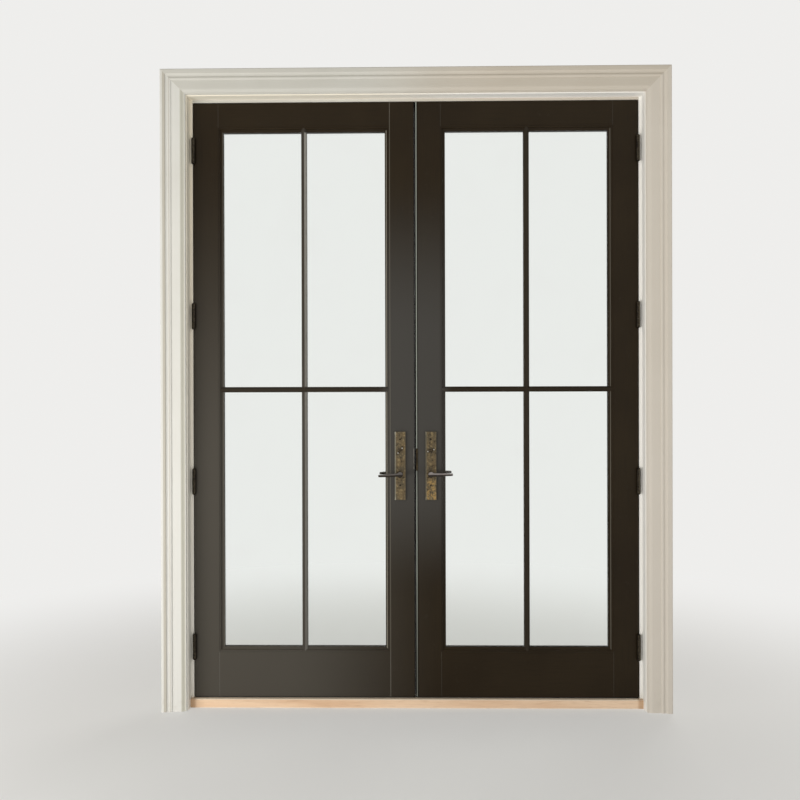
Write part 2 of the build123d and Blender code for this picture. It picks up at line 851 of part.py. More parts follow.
def leaf(name, passive):
    """All the pieces of one leaf, as left-hand shapes by node name."""
    edge_x = -meeting_gap / 2 - (astragal_width if passive else 0.0)
    droop = 0.0 if passive else left_lever_droop
    tilt = right_turn_tilt if passive else left_turn_tilt
    hinge_stile, meeting_stile, bottom_rail, top_rail = leaf_frame(passive)
    inner_pane, outer_pane, spacer = glazing()
    beads = glazing_beads()
    frame = (hinge_stile, meeting_stile, bottom_rail, top_rail)
    plates = [leaf_half(z) for z in hinge_heights()]
    for plate in plates:
        hinge_stile -= plate
    pieces = {
        "inner_pane": inner_pane,
        "outer_pane": outer_pane,
        "pane_spacer": spacer,
        "glazing_beads": beads,
        "inside_muntins": muntins(inner_muntin_section(), frame),
        "outside_muntins": muntins(outer_muntin_section(), frame + tuple(beads.solids())),
        "door_sweep": door_sweep(),
        "hinge_leaf_halves": group(plates),
        "inside_escutcheon": inside_escutcheon(),
        "outside_escutcheon": outside_escutcheon(keyed=not passive),
        "inside_lever": inside_lever(droop),
        "outside_lever": outside_lever(droop),
        "thumb_turn": thumb_turn(tilt),
    }
    meeting_stile -= lock_envelope(edge_x)
    for size, height in ((spindle_slot, lever_height), (turn_slot, turn_height)):
        meeting_stile -= square_through(size, height)
    if passive:
        upper, lower, channels = shoot_bolts()
        for channel in channels:
            meeting_stile -= channel
        reach = deadbolt_throw - bolt_recess - meeting_gap - astragal_width + strike_fit
        thickness, size = deadbolt_thickness + 2 * strike_fit, deadbolt_height_size + 2 * pocket_fit
        pocket = bolt_space(edge_x, reach, thickness, size, deadbolt_height)
        pieces["door_sweep"] -= rod_space(leaf_bottom - sill_gap, leaf_bottom, keeper_fit)
        pieces["lock_case"] = lock_case(edge_x, [pocket] + channels)
        astragal, seal, strike = meeting_pieces()
        extra = {
            "meeting_astragal": astragal,
            "meeting_seal": seal,
            "meeting_strike": strike,
            "top_shoot_bolt": upper,
            "bottom_shoot_bolt": lower,
        }
    else:
        spaces = []
        for length, thickness, size, height in (
            (latch_length, latch_thickness, latch_height_size, latch_height),
            (deadbolt_length, deadbolt_thickness, deadbolt_height_size, deadbolt_height),
        ):
            depth = length + bolt_recess + bolt_fit
            spaces.append(bolt_space(edge_x, depth, thickness + 2 * bolt_fit, size + 2 * bolt_fit, height))
        pieces["lock_case"] = lock_case(edge_x, spaces)
        extra = {"latch_bolt": latch_bolt(edge_x), "deadbolt": deadbolt(edge_x)}
    pieces["hinge_stile"] = hinge_stile
    pieces["meeting_stile"] = meeting_stile
    pieces["bottom_rail"] = bottom_rail
    pieces["top_rail"] = top_rail
    named = {f"{name}_{piece}": shape for piece, shape in pieces.items()}
    named.update(extra)
    return named


def door_frame():
    """All the pieces of the frame, by node name."""
    jamb_plates = [jamb_half(z) for z in hinge_heights()]
    jamb = left_jamb()
    plain_jambs = (jamb, other_side(jamb))
    for plate in jamb_plates:
        jamb -= plate
    head = head_jamb(plain_jambs)
    threshold = oak_threshold(plain_jambs)
    head_keeper, head_recess = keeper(rabbet_top, False)
    sill_keeper, sill_recess = keeper(threshold_height, True)
    side_board, head_board = extension_jambs()
    left_casing, head_casing = casings()
    return {
        "left_jamb": jamb,
        "right_jamb": other_side(jamb),
        "head_jamb": head - head_recess,
        "left_extension_jamb": side_board,
        "right_extension_jamb": other_side(side_board),
        "head_extension_jamb": head_board,
        "left_casing": left_casing,
        "right_casing": other_side(left_casing),
        "head_casing": head_casing,
        "oak_threshold": threshold - sill_recess,
        "exterior_sill": exterior_sill(plain_jambs),
        "frame_weatherstrips": weatherstrips(),
        "hinge_jamb_halves": group(jamb_plates + [other_side(p) for p in jamb_plates]),
        "bolt_keepers": group([head_keeper, sill_keeper]),
    }


nodes = door_frame()
nodes.update(leaf("left", passive=False))
nodes.update({node: other_side(shape) for node, shape in leaf("right", passive=True).items()})

os.makedirs("parts", exist_ok=True)
for node, shape in nodes.items():
    export_step(shape, f"parts/{node}.step")
print(len(nodes), "nodes")
print("overall width", 2 * (casing_half + casing_width), "height", casing_top + casing_width)
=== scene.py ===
"""French doors in their frame: finishes, small metalwork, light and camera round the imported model."""

# %% [markdown]
# We start with the imported model of the doors. Its solids already have the right shapes and sizes, in metres, with the
# origin on the floor midway between the jambs. X runs to the right, Y from the room to the outside and Z up.

import math

import bmesh
import bpy
from mathutils import Matrix, Vector


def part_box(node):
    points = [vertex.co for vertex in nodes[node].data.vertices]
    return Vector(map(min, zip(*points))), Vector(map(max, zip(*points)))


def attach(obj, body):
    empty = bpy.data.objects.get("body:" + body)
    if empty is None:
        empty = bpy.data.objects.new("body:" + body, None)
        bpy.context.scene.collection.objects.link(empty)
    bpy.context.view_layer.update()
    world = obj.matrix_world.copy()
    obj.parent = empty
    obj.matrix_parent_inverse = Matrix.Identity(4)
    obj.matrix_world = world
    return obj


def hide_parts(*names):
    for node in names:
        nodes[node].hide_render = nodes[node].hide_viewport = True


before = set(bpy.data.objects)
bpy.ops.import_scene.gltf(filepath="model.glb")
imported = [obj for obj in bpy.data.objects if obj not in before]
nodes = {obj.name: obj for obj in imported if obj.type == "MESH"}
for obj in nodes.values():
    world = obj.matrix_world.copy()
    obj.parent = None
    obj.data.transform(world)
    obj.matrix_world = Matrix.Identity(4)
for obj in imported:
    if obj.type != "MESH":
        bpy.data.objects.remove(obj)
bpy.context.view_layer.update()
scene = bpy.context.scene
scene.view_settings.view_transform = "Standard"

# %% [markdown]
# The camera stands in the room, a little under four metres from the doors and at chest height. Its place and turn
# come from fitting the known corners of the doors to where a photograph of such a pair shows them. A lens of about
# 41 millimetres on a sensor of 36 gives the picture's angle of view. The picture is square.

# %% Place the camera
PICTURE = 800
FOCAL_PIXELS = 903.0
SENSOR = 36.0
CAMERA_PLACE = (-0.00307, -3.70198, 1.26752)
YAW, PITCH, ROLL = math.radians(-0.9273), math.radians(-0.1388), math.radians(0.1449)
SIGHT_END = 200.0


def camera_turn(yaw, pitch, roll):
    """The turn of a camera that looks along +Y, then yaws to the right, pitches up and rolls."""
    forward = Vector((math.cos(pitch) * math.sin(yaw), math.cos(pitch) * math.cos(yaw), math.sin(pitch)))
    right = Vector((math.cos(yaw), -math.sin(yaw), 0.0))
    up = right.cross(forward)
    turned_right = math.cos(roll) * right - math.sin(roll) * up
    turned_up = math.sin(roll) * right + math.cos(roll) * up
    return Matrix((turned_right, turned_up, -forward)).transposed().to_4x4()


lens = bpy.data.cameras.new("room_camera")
lens.sensor_width = SENSOR
lens.lens = FOCAL_PIXELS / PICTURE * SENSOR
lens.clip_end = SIGHT_END
camera = bpy.data.objects.new("room_camera", lens)
scene.collection.objects.link(camera)
camera.matrix_world = Matrix.Translation(CAMERA_PLACE) @ camera_turn(YAW, PITCH, ROLL)
scene.camera = camera
print("lens", round(lens.lens, 2), "mm")

# %% [markdown]
# A material in Blender is a small graph of nodes. Written by hand, each sum needs a Math node and two wires, which
# hides the idea. The class below wraps one socket of a graph, so that a sum of masks reads like plain arithmetic and
# adds its own Math nodes. Every other kind of node comes from its method node, which takes the node's type, then its
# settings, then the values or wires of its sockets. The last methods make the masks that most finishes need: a step
# up, a step down, a band between four limits, and a line.

# %% Wires for shader graphs


def plug(tree, socket, value):
    """Gives a socket a wire, a number or a colour."""
    if isinstance(value, Wire):
        tree.links.new(value.output, socket)
    elif isinstance(value, tuple) and len(value) == 3 and socket.type == "RGBA":
        socket.default_value = (*value, 1.0)
    else:
        socket.default_value = value


class Wire:
    """One output of a shader node. Arithmetic on it adds Math nodes to the same graph."""

    def __init__(self, tree, output):
        self.tree = tree
        self.output = output

    def node(self, kind, settings, sockets, output=0):
        """Adds a node: its settings first, then the values or wires of its sockets."""
        made = self.tree.nodes.new(kind)
        for name, value in settings.items():
            setattr(made, name, value)
        for name, value in sockets.items():
            plug(self.tree, made.inputs[name], value)
        return Wire(self.tree, made.outputs[output])

    def math(self, operation, first, second=0.0):
        return self.node("ShaderNodeMath", {"operation": operation}, {0: first, 1: second})

    def __add__(self, other):
        return self.math("ADD", self, other)

    def __radd__(self, other):
        return self.math("ADD", other, self)

    def __sub__(self, other):
        return self.math("SUBTRACT", self, other)

    def __rsub__(self, other):
        return self.math("SUBTRACT", other, self)

    def __mul__(self, other):
        return self.math("MULTIPLY", self, other)

    def __rmul__(self, other):
        return self.math("MULTIPLY", other, self)

    def __abs__(self):
        return self.math("ABSOLUTE", self)

    def root(self):
        return self.math("SQRT", self)

    def at_least(self, other):
        return self.math("MAXIMUM", self, other)

    def at_most(self, other):
        return self.math("MINIMUM", self, other)

    def rise(self, low, high, start=0.0, end=1.0):
        """A smooth step from start to end as this value goes from low to high."""
        settings = {"interpolation_type": "SMOOTHSTEP"}
        sockets = {"Value": self, "From Min": low, "From Max": high, "To Min": start, "To Max": end}
        return self.node("ShaderNodeMapRange", settings, sockets)

    def fall(self, low, high):
        """A smooth step down from 1 to 0."""
        return 1.0 - self.rise(low, high)

    def between(self, low, low_full, high_full, high):
        """1 between the two inner limits, 0 outside the two outer ones."""
        return self.rise(low, low_full) * self.fall(high_full, high)

    def near(self, line, inner, outer):
        """1 up to inner from a line, 0 beyond outer."""
        return abs(self - line).fall(inner, outer)


print("shader wires ready")

# %% [markdown]
# Most finishes need the same few things: where a point lies on the object, a patchy noise, a noise that is drawn out
# along the wood's grain, and a way to lay one colour over another through a mask. Object coordinates are used
# everywhere, because every part's place is in its mesh, so one pattern runs on across neighbouring parts as a
# painter's brush would. Colours are red, green and blue from 0 to 1, as the light adds up, not as a screen codes them.
# A finish starts with new_finish. Its masks and colours come next, and complete plugs them in.

# %% Helpers for finishes
UPRIGHT, LEVEL, DEEP = 2, 0, 1
MIX_FACTOR, MIX_UNDER, MIX_UPPER, MIX_COLOUR = 0, 6, 7, 2  # a Mix node's sockets for colours, by number


def over(mask, under, upper):
    """Colour upper laid over colour under where mask is 1."""
    sockets = {MIX_FACTOR: mask, MIX_UNDER: under, MIX_UPPER: upper}
    return mask.node("ShaderNodeMix", {"data_type": "RGBA"}, sockets, output=MIX_COLOUR)


def times(colour, share):
    """A colour made darker or lighter."""
    return tuple(share * channel for channel in colour)


def noise(place, scale, detail=3.0, roughness=0.55, drift=0.0):
    """Cloudy noise between 0 and 1, with about scale lumps per metre."""
    sockets = {"Vector": place, "Scale": scale, "Detail": detail, "Roughness": roughness, "Distortion": drift}
    return place.node("ShaderNodeTexNoise", {}, sockets)


def along(place, axis, stretch, shift=(0.0, 0.0, 0.0)):
    """Coordinates squeezed along one axis, so that a noise on them is drawn out stretch times that way."""
    scale = [1.0, 1.0, 1.0]
    scale[axis] = 1.0 / stretch
    return place.node("ShaderNodeMapping", {}, {"Vector": place, "Scale": tuple(scale), "Location": shift})


def parts_of(place):
    """The three coordinates of a place as wires of their own."""
    return [place.node("ShaderNodeSeparateXYZ", {}, {"Vector": place}, output=i) for i in range(3)]


def new_finish(name, **constants):
    """A new material, with the values that are the same all over it, and the wire of a point's place."""
    material = bpy.data.materials.new(name)
    material.use_nodes = True
    tree = material.node_tree
    surface = tree.nodes["Principled BSDF"]
    for socket, value in constants.items():
        plug(tree, surface.inputs[socket.replace("_", " ").title().replace("Ior", "IOR")], value)
    return material, Wire(tree, surface.outputs[0]).node("ShaderNodeTexCoord", {}, {}, output="Object")


def complete(material, colour, roughness, height=None, relief=0.0):
    """The material with what changes over its surface. relief is the depth in metres of a height of 1."""
    tree = material.node_tree
    surface = tree.nodes["Principled BSDF"]
    plug(tree, surface.inputs["Base Color"], colour)
    plug(tree, surface.inputs["Roughness"], roughness)
    if height:
        bump = height.node("ShaderNodeBump", {}, {"Height": height, "Distance": relief, "Strength": 1.0})
        plug(tree, surface.inputs["Normal"], bump)
    print("finish", material.name)
    return material


print("helpers for finishes ready")

# %% [markdown]
# The leaves are painted a dark bronze, near black, with a soft sheen. On the real doors the paint lies over wood, so
# a faint grain shows through it along each member, and the brush has left a little unevenness. The stiles run up and
# the rails run across, so each direction gets its own material, made by one function.
#
# Light, shade and years of use change the paint from place to place. A painted sheen lightens the lower part
# of the left leaf, and a grey painted sheen lies along the meeting stiles at mid height. Painted highlights run
# along arrises of the sticking. A pale hairline marks where a rail meets a stile, because the paint has cracked
# along the joint. Painted shade darkens the left leaf's edge beside the meeting gap, with a bared spot at the
# lock. Such marks could be painted on an image. Here each kind is a mask at a known place, so it is sharp at any
# distance. The places are in metres, as distances from the middle of the doors or as heights above the floor.

# %% Where light, shade and use mark the leaves' paint
# a painted sheen low on the left leaf
SHEEN_ACROSS, SHEEN_HEIGHTS = (-0.55, 0.15), (0.9, 2.35)
# a painted sheen along the meeting stiles at mid height
MEETING_SHEEN_ACROSS, MEETING_SHEEN_FROM, MEETING_SHEEN_TO = (0.09, 0.16), (0.45, 0.95), (1.5, 2.2)
# painted highlights along arrises of the sticking
LEFT_ARRISES = ((0.7910, 0.35), (0.1038, 0.35), (0.1175, 0.85))  # distance from the middle, strength
RIGHT_ARRISES = ((0.7985, 0.45),)
ARRIS_WIDTH = (0.0008, 0.0022)
JOINT_LINES, JOINT_WIDTH = (0.8085, 0.1045), (0.0004, 0.0011)
# painted shade along the left leaf's edge beside the meeting gap
GAP_EDGE = (-0.0064, -0.0052, -0.001, 0.0)
BARED_ACROSS, BARED_HEIGHTS = (-0.0090, -0.0080, -0.0058, -0.0048), (0.972, 0.978, 1.056, 1.062)

DEEP_BRONZE, WARM_BRONZE = (0.0170, 0.0102, 0.0036), (0.0232, 0.0150, 0.0062)
GRAIN_SHADE, DUST_SPECK = (0.0100, 0.0065, 0.0034), (0.036, 0.030, 0.022)
# the two greys are painted sheen
SHEEN_GREY, MEETING_SHEEN_GREY = (0.084, 0.077, 0.065), (0.064, 0.061, 0.056)
# the pale arris colour is a painted highlight
ARRIS_HIGHLIGHT, CRACK_PALE = (0.270, 0.250, 0.205), (0.190, 0.185, 0.175)
# the dark gap colour is painted shade
GAP_SHADE, BARED_PALE = (0.003, 0.0025, 0.002), (0.250, 0.240, 0.210)


def stile_lines(base, x, z, fine):
    """Lays the narrow marks of the stiles over a colour: painted highlights on arrises, painted shade at the gap, the
    bared spot.
    """
    across = abs(x)
    # painted highlights along the arrises
    for side, arrises in ((x.fall(-0.01, 0.0), LEFT_ARRISES), (x.rise(0.0, 0.01), RIGHT_ARRISES)):
        for line, strength in arrises:
            base = over(across.near(line, *ARRIS_WIDTH) * side * strength, base, ARRIS_HIGHLIGHT)
    # painted shade along the left leaf's edge at the gap
    base = over(x.between(*GAP_EDGE) * 0.85, base, GAP_SHADE)
    bared = x.between(*BARED_ACROSS) * fine.rise(0.3, 0.6)
    return over(bared * z.between(*BARED_HEIGHTS) * 0.7, base, BARED_PALE)


print(len(LEFT_ARRISES + RIGHT_ARRISES), "pale arrises,", len(JOINT_LINES), "joint lines a side")

# %% [markdown]
# The muntins are narrow and stand proud, and a painted sheen greys them more than the stiles, more on the left
# leaf than on the right, apart from the level bar. The right slopes of the left muntins catch the light, and a
# painted highlight makes them pale, less so near the floor, and not at the top end, where the bar runs into the
# sticking. Their places come from the box round the muntins.

# %% Dark bronze paint
CROSS_LOW, CROSS_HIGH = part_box("left_inside_muntins")
BAR_HEIGHT = (CROSS_LOW[2] + CROSS_HIGH[2]) / 2
BAR_X = (CROSS_LOW[0] + CROSS_HIGH[0]) / 2
LEVEL_BAR_HALF = (0.008, 0.013)
SLOPE, SLOPE_END = (0.0014, 0.0034), (0.020, 0.015)  # from the bar's middle, and below its top end


def leaf_paint(name, axis, muntin_sheen=0.0, sheen_colour=SHEEN_GREY, pale=None):
    """Dark bronze paint with its grain along an axis. The third argument lays a share of painted sheen over muntins."""
    material, place = new_finish(name, specular_ior_level=0.15)
    grain = noise(along(place, axis, 34.0), 260.0, 3.0, 0.6)
    brush = noise(along(place, axis, 60.0, (0.3, 0.1, 0.7)), 520.0, 2.0)
    patch = noise(place, 2.6, 3.0)
    fine = noise(place, 34.0, 2.0)
    x, _, z = parts_of(place)
    across = abs(x)
    base = over(patch.rise(0.3, 0.7), DEEP_BRONZE, WARM_BRONZE)
    base = over(grain.rise(0.42, 0.75) * 0.35, base, GRAIN_SHADE)
    base = over(fine.rise(0.62, 0.80) * 0.25, base, DUST_SPECK)
    # painted sheen: a lighter grey over the lower part of the left leaf
    left_sheen = x.fall(*SHEEN_ACROSS) * z.fall(*SHEEN_HEIGHTS)
    sheen_share = (left_sheen * 0.80).at_least(muntin_sheen)
    # on muntins the painted sheen spares the level bar
    if muntin_sheen:
        off_level_bar = abs(z - BAR_HEIGHT).rise(*LEVEL_BAR_HALF)
        sheen_share = sheen_share * (0.3 + off_level_bar * 0.7)
    base = over(sheen_share, base, sheen_colour)
    # painted highlight on the right slopes of the left muntins
    if pale:
        slope = (x - BAR_X).rise(*SLOPE) * off_level_bar
        below_end = z.fall(CROSS_HIGH[2] - SLOPE_END[0], CROSS_HIGH[2] - SLOPE_END[1])
        base = over(slope * below_end * z.rise(0.2, 2.3, 0.45, 0.95), base, pale)
    # painted sheen: grey along the meeting stiles at mid height
    meeting_sheen = across.fall(*MEETING_SHEEN_ACROSS) * z.rise(*MEETING_SHEEN_FROM) * z.fall(*MEETING_SHEEN_TO)
    base = over(meeting_sheen * 0.9, base, MEETING_SHEEN_GREY)
    if axis == UPRIGHT and not muntin_sheen:
        base = stile_lines(base, x, z, fine)
    height = grain * 0.5 + brush * 0.35
    if axis == LEVEL:
        for line in JOINT_LINES:
            joint = across.near(line, *JOINT_WIDTH)
            # the crack line is paler where the painted sheen lies
            base = over(joint * (0.35 + left_sheen * 0.4), base, CRACK_PALE)
            height = height - joint * 1.5
    return complete(material, base, 0.36 + patch * 0.10 + brush * 0.06, height, relief=0.00008)


leaf_upright = leaf_paint("dark_bronze_paint_upright", UPRIGHT)
leaf_level = leaf_paint("dark_bronze_paint_level", LEVEL)
muntin_left = leaf_paint(
    "dark_bronze_paint_left_muntins", UPRIGHT, muntin_sheen=0.45, sheen_colour=(0.078, 0.071, 0.061), pale=(0.370, 0.355, 0.325)
)
muntin_right = leaf_paint("dark_bronze_paint_right_muntins", UPRIGHT, muntin_sheen=0.15)

# %% [markdown]
# The astragal has the same paint, but its round nose stands out beside the meeting gap and catches the light, so a
# painted highlight runs along it in a pale, streaky grey. Near the floor the painted highlight is weaker.

# %% The astragal's nose and its painted highlight
NOSE_X, NOSE_WIDTH, NOSE_BACK = 0.0050, (0.0015, 0.0028), (0.003, 0.006)
NOSE_PAINT, NOSE_HIGHLIGHT = (0.0175, 0.0110, 0.0050), (0.300, 0.325, 0.290)
material, place = new_finish("rubbed_astragal", specular_ior_level=0.3)
x, y, z = parts_of(place)
wear_and_highlight = noise(along(place, UPRIGHT, 30.0), 300.0, 3.0)
# painted highlight along the round nose, weaker near the floor
nose = x.near(NOSE_X, *NOSE_WIDTH) * y.fall(*NOSE_BACK)
nose = nose * (0.65 + wear_and_highlight * 0.5) * z.rise(0.1, 0.7, 0.45)
rubbed_astragal = complete(material, over(nose, NOSE_PAINT, NOSE_HIGHLIGHT), 0.40 + wear_and_highlight * 0.12, wear_and_highlight, relief=0.00004)

# %% [markdown]
# The casing, the jambs and the boards between them are painted off-white with a satin paint. White paint is never one
# flat tone: it is a little yellower lower down, where hands and dust have been, and brush marks run along each board.
# Painted light and shade shift the tone on the right of the frame: the casing is painted darker and warmer there,
# and the boards, which face the light, whiter. Painted shade darkens three hollows of the left casing's moulding.
# The same function makes the upright and the level version. The level one, on the head, is painted darker as
# painted shade, and the boards are a lighter, warmer copy, as painted light on the returns.

# %% Off-white satin paint for the frame
SHADED_GROOVES = (  # x of the line, half its width, strength, colour of the painted shade
    (-1.0132, 0.0045, 0.65, (0.420, 0.385, 0.305)),
    (-0.9935, 0.0015, 0.65, (0.480, 0.455, 0.400)),
    (-0.9410, 0.0070, 0.65, (0.510, 0.495, 0.400)),
)
GROOVE_BLUR = 0.0022
# painted shade on the casing and painted light on the boards, on the right of the frame
RIGHT_CASING_SHADE, RIGHT_BOARD_LIGHT = (0.607, 0.443, 0.282), (0.980, 0.970, 0.945)
BRUSH_SHADE, SCUFF = (0.70, 0.68, 0.62), (0.50, 0.46, 0.39)


def frame_paint(name, axis, light, dark, right_light_and_shade=RIGHT_CASING_SHADE, right_share=0.3):
    """Off-white paint with its brush marks along an axis, and painted light and shade that shift its tone on the right.
    """
    yellower = (light[0] - 0.01, light[0] - 0.012, light[0] - 0.035)
    material, place = new_finish(name, specular_ior_level=0.4)
    brush = noise(along(place, axis, 45.0), 380.0, 3.0, 0.6)
    patch = noise(place, 3.1, 4.0)
    soil = noise(place, 14.0, 4.0, 0.6)
    x, _, z = parts_of(place)
    scuffs = z.fall(0.02, 0.22) * soil.rise(0.5, 0.75)
    base = over(patch.rise(0.3, 0.7), dark, light)
    base = over(z.fall(0.3, 2.2) * 0.7, base, yellower)
    # painted light and shade on the right of the frame
    base = over(x.rise(-0.3, 0.3) * right_share, base, right_light_and_shade)
    base = over(brush.rise(0.45, 0.8) * 0.25, base, BRUSH_SHADE)
    if axis == UPRIGHT:
        # painted shade in three hollows of the left casing
        for line, half, strength, dust_and_shade in SHADED_GROOVES:
            base = over(x.near(line, half, half + GROOVE_BLUR) * strength, base, dust_and_shade)
    base = over(scuffs * 0.35, base, SCUFF)
    return complete(material, base, 0.36 + brush * 0.12 + patch * 0.06, brush, relief=0.00010)


frame_upright = frame_paint("off_white_paint_upright", UPRIGHT, (0.770, 0.766, 0.726), (0.720, 0.712, 0.668))
# darker than the upright paint: painted shade on the head
frame_level = frame_paint("off_white_paint_level", LEVEL, (0.640, 0.630, 0.580), (0.600, 0.588, 0.536))
# lighter and warmer than the casing paint: painted light on the returns
board_paint = frame_paint(
    "off_white_paint_boards", UPRIGHT, (0.960, 0.900, 0.775), (0.925, 0.865, 0.735), RIGHT_BOARD_LIGHT, right_share=0.9
)

# %% [markdown]
# The threshold is light oak under a clear satin coat. Oak shows broad bands of earlywood and latewood, and in them
# short dark pores that are drawn out along the board. The bands come from a wave that noise bends out of line, the
# pores from a fine noise stretched sixty times. A painted highlight makes the tread and the top edge of the front
# paler, with fewer pores, and the lower edge of the front is paler too. At the jambs, painted shade darkens the ends.

# %% Light oak
TREAD_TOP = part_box("oak_threshold")[1][2]
TREAD_EDGE, FOOT_EDGE, END_SHADE_SPAN = (0.005, 0.0015), (0.0015, 0.004), (0.896, 0.912)
EARLYWOOD, LATEWOOD, PALE_PATCH = (0.900, 0.655, 0.455), (0.785, 0.530, 0.345), (0.930, 0.735, 0.560)
# the tread colour is a painted highlight
TREAD_HIGHLIGHT, PALE_FOOT = (0.970, 0.860, 0.710), (0.960, 0.830, 0.670)
# the dark end colour is painted shade
END_SHADE, PORE = (0.460, 0.270, 0.140), (0.420, 0.235, 0.115)
material, place = new_finish("light_oak", specular_ior_level=0.45)
bent = along(place, LEVEL, 14.0)
settings = {"wave_type": "BANDS", "bands_direction": "DIAGONAL"}
sockets = {"Vector": bent, "Scale": 9.0, "Distortion": 7.0, "Detail": 3.0, "Detail Scale": 1.6}
rings = place.node("ShaderNodeTexWave", settings, sockets, output="Fac")
pores = noise(along(place, LEVEL, 60.0), 900.0, 2.0).rise(0.56, 0.70)
patch = noise(along(place, LEVEL, 5.0), 9.0, 3.0)
x, _, z = parts_of(place)
wood = over(rings, EARLYWOOD, LATEWOOD)
wood = over(patch.rise(0.35, 0.75) * 0.5, wood, PALE_PATCH)
# painted highlight on the tread and the top edge of its front
tread = z.rise(TREAD_TOP - TREAD_EDGE[0], TREAD_TOP - TREAD_EDGE[1])
wood = over(tread * 0.85, wood, TREAD_HIGHLIGHT)
wood = over(z.fall(*FOOT_EDGE) * 0.6, wood, PALE_FOOT)
# painted shade at the ends by the jambs
wood = over(abs(x).rise(*END_SHADE_SPAN) * 0.65, wood, END_SHADE)
wood = over(pores * (0.5 - tread * 0.3), wood, PORE)
oak = complete(material, wood, 0.34 + patch * 0.16 + pores * 0.10, rings * 0.3 - pores, relief=0.00012)

# %% [markdown]
# The sill outside is extruded aluminium with a dark bronze coat, lightly streaked where water has run off it. The
# bolts, their keepers and the lock cases are plain steel. Both metals show fine drawing marks along their length, so
# one function makes them.

# %% Sill and steel
STEEL_DARK, STEEL_LIGHT = (0.20, 0.20, 0.20), (0.33, 0.33, 0.34)


def drawn_metal(name, axis, dark, light, metallic, roughness, relief):
    """Metal with fine marks along one axis."""
    material, place = new_finish(name, metallic=metallic)
    marks = noise(along(place, axis, 40.0), 1500.0, 3.0, 0.6)
    patch = noise(place, 22.0, 3.0)
    stain = noise(place, 6.0, 4.0, 0.6).rise(0.5, 0.8)
    base = over(stain * 0.3, over(marks, dark, light), times(dark, 0.6))
    return complete(material, base, roughness + marks * 0.12 + patch * 0.10, marks, relief)


sill_metal = drawn_metal("dark_anodised_sill", DEEP, (0.060, 0.050, 0.042), (0.100, 0.086, 0.073), 0.8, 0.38, 0.00003)
steel_upright = drawn_metal("lock_steel_upright", UPRIGHT, STEEL_DARK, STEEL_LIGHT, 1.0, 0.34, 0.00002)
steel_level = drawn_metal("lock_steel_level", LEVEL, STEEL_DARK, STEEL_LIGHT, 1.0, 0.34, 0.00002)

# %% [markdown]
# The spacer between the panes is a dull dark metal with rows of tiny breathing holes, which come from a Voronoi
# pattern: each cell's middle is a hole. The seals are matt black rubber with a little dust on it.

# %% Spacer and rubber
SPACER_GREY, HOLE_DARK = (0.115, 0.115, 0.112), (0.03, 0.03, 0.03)
RUBBER_BLACK, RUBBER_DUST = (0.018, 0.018, 0.018), (0.055, 0.053, 0.050)
material, place = new_finish("spacer_metal", metallic=0.7)
cells = place.node("ShaderNodeTexVoronoi", {}, {"Vector": place, "Scale": 330.0})
holes = cells.fall(0.10, 0.22)
base = over(holes, SPACER_GREY, HOLE_DARK)
spacer_metal = complete(material, base, 0.45 + noise(place, 60.0) * 0.15, 1.0 - holes, relief=0.00005)

material, place = new_finish("seal_rubber", specular_ior_level=0.3)
grain = noise(place, 900.0, 2.0)
dust_and_shade = noise(place, 25.0, 4.0)
base = over(dust_and_shade.rise(0.45, 0.8) * 0.5, RUBBER_BLACK, RUBBER_DUST)
seal_rubber = complete(material, base, 0.62 + grain * 0.22, grain, relief=0.00008)

# %% [markdown]
# Each lite is two sheets of clear float glass. Real glass bends light only a little and mirrors a few parts in a
# hundred of what stands before it. The Principled shader with full transmission does both. Lamps would cast the
# caustics of every pane on the floor, which is slow and noisy, so for shadow rays alone the glass is mixed with a
# plain transparent shader. A trace of dust makes the surface a little less than perfect.

# %% Clear glass
GLASS_CLEAR, GLASS_DUSTY, GLASS_SHADOW = (0.972, 0.988, 0.980), (0.955, 0.965, 0.958), (0.95, 0.97, 0.96)
material, place = new_finish("clear_glass", transmission_weight=1.0, ior=1.45)
dust_and_shade = noise(place, 5.0, 5.0, 0.65)
base = over(dust_and_shade.rise(0.45, 0.85) * 0.5, GLASS_CLEAR, GLASS_DUSTY)
clear_glass = complete(material, base, dust_and_shade.rise(0.45, 0.9) * 0.012)
tree = clear_glass.node_tree
pane = Wire(tree, tree.nodes["Principled BSDF"].outputs[0])
shadow_ray = pane.node("ShaderNodeLightPath", {}, {}, output="Is Shadow Ray")
see_through = pane.node("ShaderNodeBsdfTransparent", {}, {"Color": GLASS_SHADOW})
both = pane.node("ShaderNodeMixShader", {}, {0: shadow_ray, 1: pane, 2: see_through})
plug(tree, tree.nodes["Material Output"].inputs["Surface"], both)

# %% [markdown]
# The long plates are solid bronze with an antique finish: chemically darkened, then rubbed back, so that brown, grey
# and gold lie side by side in small patches and the raised edges shine. The mask of the edges is worked out from the
# plate's own box, because a plate is worn where it is proud. The bevel on the left faces the light, so a painted
# highlight lies along it, brightest at its two corners and brighter on the left inside plate than on the others. The
# plates have been handled differently: the right one has more gold below its lever. The same bronze, darker, serves
# for the collars, the strike and the screws.

# %% Antique bronze
LOCK_X = 0.0628
LEVER_HEIGHT = 0.956
TURN_HEIGHT = 1.052
BRONZE_BROWN, BRONZE_WARM, BRONZE_LIGHT = (0.102, 0.082, 0.052), (0.142, 0.104, 0.056), (0.230, 0.174, 0.092)
BRONZE_DARK, BRONZE_SPECK, GOLD = (0.034, 0.027, 0.019), (0.022, 0.018, 0.013), (0.445, 0.290, 0.110)
# the two bevel colours are painted highlights
RIM_BRIGHT, DIM_BEVEL_HIGHLIGHT, BRIGHT_BEVEL_HIGHLIGHT = (0.235, 0.205, 0.150), (0.17, 0.155, 0.115), (0.290, 0.272, 0.215)


